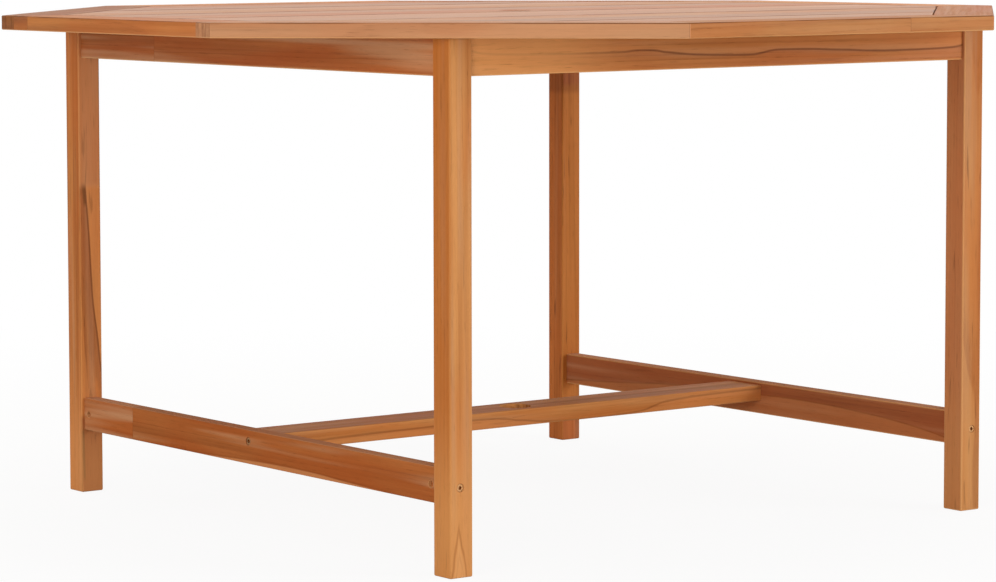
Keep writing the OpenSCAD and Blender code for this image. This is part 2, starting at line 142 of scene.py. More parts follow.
def linear(colour: Triple) -> tuple[float, float, float, float]:
    """Turn a display colour of 0 to 255 into linear light.

    The formula is the display curve: c / 12.92 for dark values, else ((c + 0.055) / 1.055) ** 2.4.

    Args:
        colour: Red, green and blue from 0 to 255.

    Returns:
        Linear red, green and blue, and an alpha of 1.
    """
    c = np.array(colour) / 255
    red, green, blue = np.where(c <= 0.04045, c / 12.92, ((c + 0.055) / 1.055) ** 2.4)
    return (float(red), float(green), float(blue), 1.0)


@dataclass(frozen=True)
class Side:
    """How one side of a board is worked.

    Attributes:
        arris: Radius of its rounded edges.
        step: Depth of its groove, or, below zero, the length of its tongue.
    """

    arris: float = JOINT_ARRIS
    step: float = 0.0

    def rings(self, half: float, step_half: float) -> tuple[np.ndarray, np.ndarray]:
        """Work out the section of the side, from the lower face to the upper one.

        A quarter round of radius r goes in by r(1 - sin t) at a drop of r(1 - cos t), with t from
        0 on the face to 90 degrees on the side. A groove or a tongue adds four rings between.

        Args:
            half: Half the thickness of the board.
            step_half: Half the height of the board's groove or tongue, or 0 where it has none.

        Returns:
            The inset from the outline and the height of each ring.
        """
        turn = np.linspace(0, np.pi / 2, ROUND_STEPS + 1)
        inset = self.arris * (1 - np.sin(turn))
        low = self.arris * (1 - np.cos(turn)) - half
        middle_inset, middle_height = [], []
        if step_half:
            hair = 0 if self.step else HAIR
            middle_inset = [0, self.step, self.step, 0]
            middle_height = [-step_half, hair - step_half, step_half - hair, step_half]
        return (np.concatenate([inset, middle_inset, inset[::-1]]),
                np.concatenate([low, middle_height, -low[::-1]]))


@dataclass(frozen=True)
class Axes:
    """Where a board lies.

    Attributes:
        origin: Its middle.
        a: Direction of its outline's first axis.
        b: Direction of its outline's second axis. Its thickness runs along a x b.
    """

    origin: Triple
    a: Triple
    b: Triple

    def place(self, points: np.ndarray) -> np.ndarray:
        """Return points given along a, b and a x b as points in the table's own space."""
        turn = np.array([self.a, self.b, np.cross(self.a, self.b)])
        return points @ turn + np.array(self.origin)


@dataclass
class Board:
    """Flat or long piece of wood: a convex outline, carried through its thickness.

    Attributes:
        name: Name of the object.
        outline: Corners of the outline, counter-clockwise in a and b.
        sides: How the side after each corner is worked.
        half: Half the thickness.
        axes: Where the board lies.
        corner_round: Radius of the outline's corners.
        step_half: Half the height of the tongue or the groove.
        upper_wear_and_light: Factor on the wear and painted light of the upper arris, darkened below 0.
    """

    name: str
    outline: np.ndarray
    sides: list[Side]
    half: float
    axes: Axes
    corner_round: float = 0.0
    step_half: float = 0.0
    upper_wear_and_light: float = 1.0

    def build(self) -> bpy.types.Object:
        """Make the board's object.

        Ring k and column j of the grid lie at the column's outline point, less each side's inset
        at ring k times the direction that moves the point in from that side alone.

        Returns:
            The object, closed, with its faces outwards and its place in its mesh.
        """
        inset, height = (np.array(part) for part in
                         zip(*(side.rings(self.half, self.step_half) for side in self.sides)))
        base, shares, owners, tall, arc = self._columns()
        a, b = owners
        flat = (base[None] - inset[a].T[..., None] * shares[0][None]
                - inset[b].T[..., None] * shares[1][None])
        points = np.dstack([flat, height[tall].T[..., None]])
        rings, columns = points.shape[:2]
        worn_and_lit, smooth = self._wear_and_light(rings, b, arc)
        mesh = ring_mesh(self.name, self.axes.place(points.reshape(-1, 3)), worn_and_lit, smooth)
        self._sharpen(mesh, columns)
        return finished(self.name, mesh)

    def _columns(self) -> tuple[np.ndarray, ...]:
        """Work out the columns of the grid, one at each sharp corner or several round an arc.

        The two directions at a corner solve n1.U = 1, n2.U = 0 and n1.V = 0, n2.V = 1 for the
        outward directions n1 and n2 of its two sides. On an arc the direction turns from n1 to n2.

        Returns:
            Base points, the pair of directions, the pair of side numbers, the side that gives the
            height, and for each column whether the strip after it is part of an arc.
        """
        count = len(self.outline)
        along = np.roll(self.outline, -1, axis=0) - self.outline
        along /= np.linalg.norm(along, axis=1, keepdims=True)
        out = np.stack([along[:, 1], -along[:, 0]], axis=1)
        here = np.arange(count)
        before = (here - 1) % count
        dual = np.linalg.inv(np.stack([out[before], out], axis=1))
        u, v = dual[:, :, 0], dual[:, :, 1]
        if not self.corner_round:
            rank = np.array([side.arris + (side.step != 0) for side in self.sides])
            tall = np.where(rank[before] > rank, before, here)
            return self.outline, np.array([u, v]), np.array([before, here]), tall, here < 0
        start = np.arctan2(out[before, 1], out[before, 0])
        turn = (np.arctan2(out[:, 1], out[:, 0]) - start) % (2 * np.pi)
        angle = start[:, None] + turn[:, None] * np.linspace(0, 1, ROUND_STEPS + 1)
        direction = np.stack([np.cos(angle), np.sin(angle)], axis=-1)
        base = (self.outline - self.corner_round * (u + v))[:, None] + self.corner_round * direction
        steps = np.arange(ROUND_STEPS + 1)
        side = np.repeat(here, ROUND_STEPS + 1)
        arc = np.tile(steps < ROUND_STEPS, count)
        direction = direction.reshape(-1, 2)
        return (base.reshape(-1, 2), np.array([direction, direction * 0]),
                np.array([side, side]), side, arc)

    def _wear_and_light(self, rings: int, side: np.ndarray, arc: np.ndarray) -> tuple[np.ndarray, np.ndarray]:
        """Say the wear and painted highlight of each face: most on the middle facet of a rounded edge.

        Args:
            rings: Number of rings.
            side: Number of the side after each column.
            arc: Whether the strip after each column is part of an arc.

        Returns:
            Wear and painted light from 0 to 1, and whether the face is shaded smooth, by ring and column.
        """
        facet = np.array(FACET_WEAR_AND_LIGHT)
        up = np.zeros(rings - 1)
        up[:ROUND_STEPS] = facet
        up[-ROUND_STEPS:] = facet * self.upper_wear_and_light
        arris = np.array([each.arris for each in self.sides])[side]
        worn_and_lit = up[:, None] * np.minimum(1, arris / FULL_WEAR_AND_LIGHT_ARRIS)
        smooth = (up[:, None] != 0) & (arris >= SMOOTH_ARRIS)
        corner = np.resize(np.append(facet, 0), len(arc))
        return np.where(arc, corner, worn_and_lit), smooth | arc[None]

    def _sharpen(self, mesh: bpy.types.Mesh, columns: int) -> None:
        """Mark the edges that run up the outline's sharp corners, so that no shading crosses them.

        Args:
            mesh: Mesh of the board, with its points ring after ring.
            columns: Number of points of a ring.
        """
        ends = np.empty(len(mesh.edges) * 2, dtype=np.int32)
        mesh.edges.foreach_get("vertices", ends)
        column = ends.reshape(-1, 2) % columns
        sharp = (column[:, 0] == column[:, 1]) & (self.corner_round == 0)
        mark = mesh.attributes.new("sharp_edge", "BOOLEAN", "EDGE")
        mark.data.foreach_set("value", sharp)


def ring_mesh(name: str, points: np.ndarray, worn_and_lit: np.ndarray, smooth: np.ndarray,
              lid_wear_and_light: float = 0.0) -> bpy.types.Mesh:
    """Join a stack of closed rings of points into a shell with a lid at each end.

    Face k, j joins points j and j + 1 of ring k to the same points of ring k + 1.

    Args:
        name: Name of the mesh.
        points: The points, ring after ring.
        worn_and_lit: Wear and painted light of the faces, by ring and column.
        smooth: Whether each face is shaded smooth, by ring and column.
        lid_wear_and_light: Wear and painted light of the two lids, which are shaded flat.

    Returns:
        The closed mesh, with its faces outwards and their wear and painted light as an attribute.
    """
    strips, columns = worn_and_lit.shape
    k, j = np.meshgrid(np.arange(strips), np.arange(columns), indexing="ij")
    after = (j + 1) % columns
    quads = np.stack([k * columns + j, k * columns + after,
                      (k + 1) * columns + after, (k + 1) * columns + j], axis=-1)
    ring = np.arange(columns)
    lids = [(ring + strips * columns).tolist(), ring[::-1].tolist()]
    mesh = bpy.data.meshes.new(name)
    mesh.from_pydata(points.tolist(), [], quads.reshape(-1, 4).tolist() + lids)
    wear_and_light = mesh.attributes.new("wear_and_light", "FLOAT", "FACE")
    wear_and_light.data.foreach_set("value", np.append(worn_and_lit, [lid_wear_and_light, lid_wear_and_light]).astype(np.float32))
    mesh.polygons.foreach_set("use_smooth", np.append(smooth, [False, False]))
    return mesh


def finished(name: str, mesh: bpy.types.Mesh) -> bpy.types.Object:
    """Merge the doubled points of a mesh and put it into the scene as an object.

    Args:
        name: Name of the object.
        mesh: Mesh with its faces outwards.

    Returns:
        The new object.
    """
    work = bmesh.new()
    work.from_mesh(mesh)
    bmesh.ops.remove_doubles(work, verts=work.verts, dist=MERGE_DISTANCE)
    work.to_mesh(mesh)
    work.free()
    piece = bpy.data.objects.new(name, mesh)
    bpy.context.scene.collection.objects.link(piece)
    return piece


def rectangle(length: float, width: float) -> np.ndarray:
    """Return the corners of a rectangle about the origin, counter-clockwise."""
    return np.array([(-1, -1), (1, -1), (1, 1), (-1, 1)]) * (length / 2, width / 2)


def block_cutter(low: np.ndarray, high: np.ndarray) -> bpy.types.Object:
    """Make a square block to cut a pocket with.

    Args:
        low: Its lowest corner.
        high: Its highest corner.

    Returns:
        The block.
    """
    middle = (low + high) / 2
    size = high - low
    return Board("cutter", rectangle(size[0], size[1]), [Side(0)] * 4, size[2] / 2,
                 Axes(tuple(middle), (1, 0, 0), (0, 1, 0))).build()


def turned(name: str, profile: list[tuple[float, float]], origin: Triple, axis: Triple,
           wear_and_light: float = BORE_SHADE) -> bpy.types.Object:
    """Turn a profile round an axis.

    The point of height h and radius r at angle t lies at origin + h axis + r(cos t u + sin t v),
    where u and v are square to the axis.

    Args:
        name: Name of the object.
        profile: Heights along the axis and radii, in rising order of height.
        origin: Point of height 0.
        axis: Direction of the axis.
        wear_and_light: Painted light of its faces, which a hole that it cuts takes over: shade below 0.

    Returns:
        The closed object.
    """
    w = np.array(axis) / np.linalg.norm(axis)
    u = np.cross(w, (0, 0, 1) if abs(w[2]) < UPRIGHT_SHARE else (1, 0, 0))
    u /= np.linalg.norm(u)
    v = np.cross(w, u)
    height, radius = np.array(profile).T
    angle = np.arange(CUTTER_SIDES) * 2 * np.pi / CUTTER_SIDES
    spoke = np.cos(angle)[:, None] * u + np.sin(angle)[:, None] * v
    points = height[:, None, None] * w + radius[:, None, None] * spoke + np.array(origin)
    worn_and_lit = np.full((len(profile) - 1, CUTTER_SIDES), wear_and_light)
    smooth = np.ones(worn_and_lit.shape, dtype=bool)
    return finished(name, ring_mesh(name, points.reshape(-1, 3), worn_and_lit, smooth, wear_and_light))


def eased_bore(radius: float, depth: float, ease: float = MOUTH_EASE) -> list[tuple[float, float]]:
    """Return the profile of a cutter for a blind hole whose mouth is rounded over.

    The mouth is a quarter round: at a depth of e(1 - cos t) the radius is r + e(1 - sin t).

    Args:
        radius: Radius of the hole.
        depth: Depth of the hole.
        ease: Radius e of the rounded mouth.

    Returns:
        Heights and radii, with the face at height 0 and the hole towards rising height.
    """
    turn = np.linspace(0, np.pi / 2, ROUND_STEPS + 1)
    mouth = np.stack([ease * (1 - np.cos(turn)), radius + ease * (1 - np.sin(turn))], axis=1)
    return [(-ease, radius + ease), *map(tuple, mouth.tolist()), (depth, radius)]


def cut(piece: bpy.types.Object, cutters: list[bpy.types.Object]) -> bpy.types.Object:
    """Cut shapes out of a piece and delete the cutters.

    Args:
        piece: Object to cut.
        cutters: Closed objects to take away.

    Returns:
        The same object, with its new mesh.
    """
    for tool in cutters:
        boolean = piece.modifiers.new("cut", "BOOLEAN")
        boolean.operation = "DIFFERENCE"
        boolean.solver = "EXACT"
        boolean.object = tool
    graph = bpy.context.evaluated_depsgraph_get()
    mesh = bpy.data.meshes.new_from_object(piece.evaluated_get(graph))
    mesh.name = piece.name
    piece.modifiers.clear()
    piece.data = mesh
    for tool in cutters:
        bpy.data.objects.remove(tool)
    return piece


class Value:
    """Socket of a node tree that joins in plain arithmetic."""

    def __init__(self, nodes: "Nodes", socket: bpy.types.NodeSocket) -> None:
        """Keep the tree and its socket."""
        self.nodes = nodes
        self.socket = socket

    def _with(self, operation: str, *others: "float | Value") -> "Value":
        """Return a Math node of this value and others, in that order."""
        return self.nodes.math(operation, self, *others)

    def __add__(self, other: "float | Value") -> "Value":
        """Return the sum."""
        return self._with("ADD", other)

    __radd__ = __add__

    def __mul__(self, other: "float | Value") -> "Value":
        """Return the product."""
        return self._with("MULTIPLY", other)

    __rmul__ = __mul__

    def __sub__(self, other: "float | Value") -> "Value":
        """Return the difference."""
        return self._with("SUBTRACT", other)

    def __rsub__(self, other: "float | Value") -> "Value":
        """Return another value less this one."""
        return self.nodes.math("SUBTRACT", other, self)

    def __truediv__(self, other: "float | Value") -> "Value":
        """Return the quotient."""
        return self._with("DIVIDE", other)

    def __pow__(self, other: "float | Value") -> "Value":
        """Return the power."""
        return self._with("POWER", other)

    def __gt__(self, other: "float | Value") -> "Value":
        """Return 1 where this value is the greater one, else 0."""
        return self._with("GREATER_THAN", other)

    def ramp(self, low: float, high: float) -> "Value":
        """Turn the value into a smooth step.

        Args:
            low: Where the step is 0.
            high: Where the step is 1. It falls where this is the lower one.

        Returns:
            The step, of 0 to 1.
        """
        if low > high:
            return 1 - self.ramp(high, low)
        return self.nodes.node("ShaderNodeMapRange", "Result", {"interpolation_type": "SMOOTHSTEP"},
                               {"Value": self, "From Min": low, "From Max": high})


class Nodes:
    """Node tree of a material or of the surroundings."""

    NOISE_ROUGHNESS = 0.55

    def __init__(self, tree: bpy.types.NodeTree) -> None:
        """Take over a tree and empty it."""
        self.tree = tree
        self.tree.nodes.clear()

    def node(self, kind: str, out: str | int, settings: dict | None = None,
             inputs: dict | None = None) -> Value:
        """Add a node.

        Args:
            kind: Type of the node.
            out: Name or number of the output that is wanted.
            settings: Properties of the node, set before its inputs.
            inputs: Value or link of each input, by name or number.

        Returns:
            The wanted output.
        """
        node = self.tree.nodes.new(kind)
        for key, setting in (settings or {}).items():
            setattr(node, key, setting)
        for key, given in (inputs or {}).items():
            if isinstance(given, Value):
                self.tree.links.new(given.socket, node.inputs[key])
            else:
                node.inputs[key].default_value = given
        return Value(self, node.outputs[out])

    def math(self, operation: str, *values: float | Value) -> Value:
        """Return a Math node of the values."""
        return self.node("ShaderNodeMath", 0, {"operation": operation}, dict(enumerate(values)))

    def vector(self, operation: str, out: str, *values: Triple | Value) -> Value:
        """Return a Vector Math node of the values."""
        return self.node("ShaderNodeVectorMath", out, {"operation": operation}, dict(enumerate(values)))

    def joined(self, x: float | Value, y: float | Value, z: float | Value) -> Value:
        """Return a vector of three values."""
        return self.node("ShaderNodeCombineXYZ", 0, None, {0: x, 1: y, 2: z})

    def parts(self, vector: Value) -> tuple[Value, Value, Value]:
        """Return the three values of a vector."""
        outputs = self.node("ShaderNodeSeparateXYZ", 0, None, {0: vector}).socket.node.outputs
        return tuple(Value(self, socket) for socket in outputs)

    def noise(self, point: Value, scale: Triple, detail: float = 2.0) -> Value:
        """Add smooth noise.

        Args:
            point: Place that it reads.
            scale: Its scale per metre on each axis.
            detail: How many finer layers it has.

        Returns:
            The noise, of 0 to 1.
        """
        stretched = self.vector("MULTIPLY", "Vector", point, scale)
        return self.node("ShaderNodeTexNoise", 0, {"noise_dimensions": "3D"},
                         {"Vector": stretched, "Scale": 1.0, "Detail": detail,
                          "Roughness": self.NOISE_ROUGHNESS})

    def dice(self, number: Value, seed: float) -> Value:
        """Return a random value of 0 to 1 for each whole number."""
        return self.node("ShaderNodeTexWhiteNoise", "Value", {"noise_dimensions": "1D"},
                         {"W": number + seed})

    def curve(self, place: Value, points: tuple[Pair, ...]) -> Value:
        """Lay a smooth curve through points, level beyond its ends.

        The points are held as shares of the curve's reach and rise, and a level one has a rise of 1.

        Args:
            place: Place along the curve.
            points: Places and heights of the points, in rising order of their places.

        Returns:
            Height of the curve.
        """
        x, y = np.array(points).T
        reach, rise = np.ptp(x), np.ptp(y) or 1.0
        curve = self.node("ShaderNodeFloatCurve", 0, None, {"Value": (place - float(x[0])) / float(reach)})
        mapping = curve.socket.node.mapping
        line = mapping.curves[0]
        wanted = np.stack([(x - x[0]) / reach, (y - y.min()) / rise], axis=1).tolist()
        for near, high in wanted[1:-1]:
            line.points.new(near, high)
        line.points[0].location = wanted[0]
        line.points[-1].location = wanted[-1]
        mapping.update()
        return curve * float(rise) + float(y.min())

    def blend(self, amount: float | Value, first: "Value | tuple", second: "Value | tuple",
              mode: str = "MIX") -> Value:
        """Return a mix of two colours."""
        settings = {"data_type": "RGBA", "blend_type": mode, "clamp_factor": True}
        return self.node("ShaderNodeMix", 2, settings, {0: amount, 6: first, 7: second})

    def output(self, kind: str, shaded: Value) -> None:
        """Link a surface to a new output node of the tree."""
        end = self.tree.nodes.new(kind)
        self.tree.links.new(shaded.socket, end.inputs["Surface"])


class Shader(Nodes):
    """Node tree of one material."""

    def __init__(self, name: str) -> None:
        """Start a material with an empty tree.

        Args:
            name: Name of the material.
        """
        self.material = bpy.data.materials.new(name)
        self.material.use_nodes = True
        super().__init__(self.material.node_tree)

    def finish(self, surface: dict, height: Value, bump: float, depth: float) -> bpy.types.Material:
        """Close the tree with one shader.

        Args:
            surface: Values and links of the shader's sockets.
            height: Height of the relief, of 0 to 1.
            bump: Strength of the relief.
            depth: Depth of the relief.

        Returns:
            The material.
        """
        normal = self.node("ShaderNodeBump", 0, None,
                           {"Strength": bump, "Distance": depth, "Height": height})
        shaded = self.node("ShaderNodeBsdfPrincipled", 0, None, {**surface, "Normal": normal})
        return self.close(shaded)

    def close(self, shaded: Value) -> bpy.types.Material:
        """Link a surface to the material's output and return the material."""
        self.output("ShaderNodeOutputMaterial", shaded)
        return self.material


class Tone(Enum):
    """Colours of one sort of teak board: early wood, late wood and a warmer shade."""

    HONEY = ((208, 144, 84), (154, 88, 42), (198, 114, 52))
    AMBER = ((194, 124, 66), (134, 74, 34), (182, 98, 44))
    RUSSET = ((178, 106, 58), (118, 62, 32), (164, 82, 38))
    UMBER = ((150, 88, 50), (94, 50, 28), (142, 72, 36))
    ROSE = ((198, 142, 102), (146, 98, 66), (184, 120, 80))


class Grain(Enum):
    """How a board was sawn: the pith's place beside and below it, and the tilt along it."""

    FLAT = ((0.012, -0.075), (0.010, 0.030))
    RIFT = ((0.090, -0.070), (0.015, 0.012))
    QUARTER = ((0.150, -0.010), (0.010, 0.006))
    ARCHED = ((0.000, -0.034), (0.004, 0.060))


class Pattern(Enum):
    """Noises of the wood and the metal.

    Each has its scale per metre on each axis, which for boards are along, across and through, its
    detail, and the values that are stretched to 0 and 1, or None where it is left as it is.
    """

    BEND = ((1.3, 9, 9), 2.0, None)
    RIPPLE = ((7, 60, 60), 1.0, None)
    STREAK = ((1.1, 42, 42), 2.0, (0.32, 0.72))
    THREAD = ((3.0, 170, 170), 2.0, (0.35, 0.70))
    FIBRE = ((16, 1000, 1000), 2.0, None)
    PORE = ((38, 1500, 1500), 1.0, (0.62, 0.72))
    DRIFT = ((4, 22, 22), 2.0, (0.35, 0.68))
    VEIL = ((2.4, 56, 56), 1.0, (0.46, 0.74))
    MARK = ((11, 150, 150), 2.0, (0.62, 0.76))
    END_ROW = ((12, 260, 18), 2.0, (0.38, 0.60))
    DASH = ((6, 4, 4), 1.0, (0.40, 0.62))
    WOBBLE = ((24, 70, 70), 1.0, None)
    CLOUD = ((160, 160, 160), 3.0, None)
    SCRATCH = ((300, 1800, 2400), 2.0, None)
    FLECK = ((900, 200, 900), 2.0, (0.5, 0.75))
    DOWEL_STREAK = ((120, 20, 120), 2.0, None)

    def at(self, s: Shader, point: Value) -> Value:
        """Add the noise to a material.

        Args:
            s: The shader.
            point: Place that it reads.

        Returns:
            The noise, of 0 to 1.
        """
        scale, detail, stretch = self.value
        noise = s.noise(point, scale, detail)
        return noise.ramp(*stretch) if stretch else noise


class Face(Enum):
    """Faces of a board that a figure lies on."""

    ALL = 0
    FRONT = 1
    LEFT = 2
    TOP = 3


class Beside(Enum):
    """Side of a figure's line that its tone lies on."""

    ABOVE = 1
    BELOW = -1


@dataclass(frozen=True)
class Figure:
    """Line that wanders along a board, with another tone on one side of it.

    Attributes:
        points: Points of the line in rising order, as places along and across the board, or along
            and through it where the figure lies on the front face.
        fill: Strength of the tone.
        colour: Colour of the tone.
        beside: Side of the line that the tone lies on.
        line: Strength of the dark line itself.
        reach: Distance from the line at which the tone has faded.
        span: Places along the board between which the figure lies.
        face: Face of the board that it lies on.
    """

    points: tuple[Pair, ...]
    fill: float
    colour: Triple
    beside: Beside = Beside.ABOVE
    line: float = 0.0
    reach: float = 1.0
    span: Pair = WHOLE_LENGTH
    face: Face = Face.ALL


# A whole-face tone: a stain of the wood on most faces, and painted shade at a leg's head and painted light
# on the end stretchers' tops.
def stain_and_light(fill: float, colour: Triple, face: Face = Face.ALL, span: Pair = WHOLE_LENGTH) -> Figure:
    """Return a figure whose line runs outside the board, so that its tone covers a whole face."""
    outside = ((-0.4, -0.0260), (0.0, -0.0252), (0.4, -0.0260))
    return Figure(outside, fill, colour, span=span, face=face)


@dataclass(frozen=True)
class Glow:
    """Stretch over which a board grows paler.

    Attributes:
        start: Place along the board where it starts.
        stop: Place where the board is palest, from where it stays so.
        gain: Strength, of 0 to 1.
    """

    start: float
    stop: float
    gain: float


# Pieces of a jointed board: the step of the noises and of the pith from one piece to the next, and
# the share of a board's seed that moves its noises across.
PIECE_STEP = (0.73, 0.31, 0.17)
PITH_STEP = 21 * MM
SEED_ACROSS = 0.37

# Year rings: how far the noises push them, the parts of a year over which late wood comes and goes,
# and the powers that make late wood narrow and dark years rare.
BEND_ACROSS = 18 * MM
BEND_THROUGH = 12 * MM
RIPPLE_THROUGH = 1.2 * MM
LATE_COMES = (0.30, 0.97)
LATE_GOES = (1.0, 0.95)
LATE_POWER = 2.2
YEAR_POWER = 1.7

# Way from early to late wood, of 0 to 1: the ground, the palest ring and what a dark year adds to
# it, streaks about their mean, and threads. Early wood has PORE_EARLY of the pores.
GROUND = 0.24
RING_DARK = 0.06
YEAR_DARK = 0.46
STREAK_MEAN = 0.45
STREAK_DARK = 0.50
THREAD_DARK = 0.26
PORE_EARLY = 0.4

# Strength of the warm drifts, of the fibres' light, and of the shade of pores and seams.
DRIFT_WARMTH = 0.60
FIBRE_LIGHT = 0.16
PORE_SHADE = 0.30
SEAM_SHADE = 0.35

# Cut ends: how squarely the fibres have to be cut, and the strength of the dark between and in rows.
END_FACING = (0.45, 0.95)
END_DARK = 0.16
END_ROW_DARK = 0.66

# Wear and painted light: strength of the pale, which is wear with a painted highlight, and of the dark,
# which is painted shade in holes and plank gaps and the rails' darkened upper edge, and what streaks
# and dashes add to them. Those of the dark are below 0, as the value of wear and light is there.
PALE_RUB_AND_HIGHLIGHT = 0.36
PALE_STREAK = 0.34
DARK_PLAIN = -0.25
DARK_DASH = -0.70

# Roughness of plain wood and what threads, pores and cut ends add, and the relief of the surface.
PLAIN_ROUGH = 0.50
THREAD_ROUGH = 0.10
PORE_ROUGH = 0.15
END_ROUGH = 0.12
PLAIN_HEIGHT = 0.4
FIBRE_HEIGHT = 0.5
LATE_HEIGHT = 0.25
THREAD_HEIGHT = 0.2
PORE_DEPTH = 0.6

# Figures: how far noise bends a line, the share of its reach at which a tone starts to fade, and how
# far up a face has to look to be a top that gets painted light.
LINE_BEND = 3 * MM
FADE_START = 0.4
TOP_FACING = (0.5, 0.9)

# Pointed figure: the noise of its sides, their steepness, the depth of its soft edge and the strength
# of its tone. Its rim and the line inside it have the distances at which they start and are full.
ARCH_WOBBLE = 8 * MM
ARCH_STEEPNESS = 5.0
ARCH_EDGE = 30 * MM
ARCH_FILL = 0.50
RIM_HALF = (13 * MM, 2 * MM)
RIM_FILL = 0.44
INNER_PLACE = 34 * MM
INNER_HALF = (10 * MM, 2 * MM)
INNER_FILL = 0.14


@dataclass(frozen=True)
class Teak:
    """Finish of one teak board, sanded and bare.

    Attributes:
        tone: Colours of the board.
        grain: How it was sawn.
        seed: Number that makes its figure its own.
        light: Factor on its colour.
        contrast: Factor on its rings and streaks.
        ring: Width of a year ring.
        shine: Level of its gloss.
        joints: Places of its finger joints along the board, and the light of the piece beyond each.
        glow: Where it grows paler, or None.
        marks: Strength of short dark marks.
        veil: Strength of greyer streaks.
        wear_and_light: Factor on the pale wear and painted highlight of its edges, and on the painted light
            in its holes.
        figures: Lines and tones that wander along it.
        arch: Place of the tip of a pointed figure along and through the board, or None.
    """

    tone: Tone
    grain: Grain
    seed: float
    light: float = 1.0
    contrast: float = 1.0
    ring: float = 5.5 * MM
    shine: float = 0.06
    joints: tuple[Pair, ...] = ()
    glow: Glow | None = None
    marks: float = 0.15
    veil: float = 0.25
    wear_and_light: float = 1.0
    figures: tuple[Figure, ...] = ()
    arch: Pair | None = None

    def material(self, name: str, centre: Triple, turn: Euler) -> bpy.types.Material:
        """Make the board's material.

        Streaks, threads and fibres are noise drawn out along the grain. Each piece of a board with
        finger joints reads its noises at a place of its own.

        Args:
            name: Name of the material.
            centre: Middle of the board.
            turn: Rotation that takes X to the grain, Y to the width and Z to the thickness.

        Returns:
            The material.
        """
        s = Shader(name)
        place = s.node("ShaderNodeTexCoord", "Object")
        local = s.node("ShaderNodeMapping", 0, {"vector_type": "TEXTURE"},
                       {"Vector": place, "Location": centre, "Rotation": tuple(turn)})
        along = s.parts(local)[0]
        beyond = [along > joint for joint, _ in self.joints]
        piece = sum(beyond, start=along * 0)
        step_along, step_across, step_through = PIECE_STEP
        shift = s.joined(piece * step_along + self.seed, piece * step_across + self.seed * SEED_ACROSS,
                         piece * step_through)
        sample = s.vector("ADD", "Vector", local, shift)
        bend = Pattern.BEND.at(s, sample) - 0.5
        late, mood = self._year_rings(s, local, sample, piece, bend)
        streak = Pattern.STREAK.at(s, sample)
        thread = Pattern.THREAD.at(s, sample)
        fibre = Pattern.FIBRE.at(s, sample)
        pores = Pattern.PORE.at(s, sample) * (PORE_EARLY + late)
        dark = (late * (RING_DARK + mood * YEAR_DARK) + (streak - STREAK_MEAN) * STREAK_DARK
                + (thread - 0.5) * THREAD_DARK) * self.contrast + GROUND
        colour = self._tinted(s, sample, dark)
        for figure in self.figures:
            colour = self._figured(s, colour, figure, local, bend)
        if self.glow:
            paler = along.ramp(self.glow.start, self.glow.stop) * self.glow.gain
            colour = s.blend(paler, colour, linear(GLOW_PALE))
        if self.arch:
            colour = self._arched(s, colour, local)
        marks = Pattern.MARK.at(s, sample) * self.marks
        shade = self.light * (1.0 + (fibre - 0.5) * FIBRE_LIGHT) * (1 - pores * PORE_SHADE) * (1 - marks)
        for (joint, light), past in zip(self.joints, beyond):
            seam = s.math("ABSOLUTE", along - joint).ramp(*SEAM_HALF)
            shade = shade * (1 - seam * SEAM_SHADE) * (1 + past * (light - 1))
        colour = s.blend(1.0, colour, s.joined(shade, shade, shade), "MULTIPLY")
        end = self._end_grain(s, turn)
        rows = Pattern.END_ROW.at(s, sample)
        colour = s.blend(end * (END_DARK + rows * END_ROW_DARK), colour, linear(CUT_END))
        colour = self._worn_and_lit(s, colour, sample, streak)
        rough = PLAIN_ROUGH + (thread - 0.5) * THREAD_ROUGH + pores * PORE_ROUGH + end * END_ROUGH
        relief = (fibre * FIBRE_HEIGHT + late * LATE_HEIGHT - pores * PORE_DEPTH
                  + thread * THREAD_HEIGHT + PLAIN_HEIGHT)
        surface = {"Base Color": colour, "Roughness": rough, "Specular IOR Level": self.shine}
        return s.finish(surface, relief, bump=0.22, depth=0.4 * MM)

    def _year_rings(self, s: Shader, local: Value, sample: Value, piece: Value,
                    bend: Value) -> tuple[Value, Value]:
        """Work out the year rings.

        A place's year is its distance from a tilted pith line, bent by noise, divided by the width
        of a ring. Late wood grows dark towards the end of each year and stops short there.

        Args:
            s: The shader.
            local: Place along, across and through the board.
            sample: Place that the noises read.
            piece: Number of finger joints that lie before the place.
            bend: Noise that bends the rings.

        Returns:
            How much late wood there is, and how dark its year is, each of 0 to 1.
        """
        along, across, through = s.parts(local)
        (beside, below), (drift, climb) = self.grain.value
        ripple = Pattern.RIPPLE.at(s, sample) - 0.5
        y = across - beside + along * drift + piece * PITH_STEP + bend * BEND_ACROSS
        z = through - below + along * climb + bend * BEND_THROUGH + ripple * RIPPLE_THROUGH
        years = s.math("SQRT", y * y + z * z) / self.ring
        year = s.math("FLOOR", years)
        phase = years - year
        late = phase.ramp(*LATE_COMES) ** LATE_POWER * phase.ramp(*LATE_GOES)
        return late, s.dice(year, self.seed) ** YEAR_POWER

    def _tinted(self, s: Shader, sample: Value, dark: Value) -> Value:
        """Colour the wood, with warm drifts and greyer streaks.

        Args:
            s: The shader.
            sample: Place that the noises read.
            dark: 0 for early wood, 1 for late wood.

        Returns:
            The colour.
        """
        early, deep, warm = (linear(colour) for colour in self.tone.value)
        drifts = Pattern.DRIFT.at(s, sample)
        veil = Pattern.VEIL.at(s, sample)
        colour = s.blend(drifts * DRIFT_WARMTH, s.blend(dark, early, deep), warm)
        return s.blend(veil * self.veil, colour, linear(VEIL_GREY))

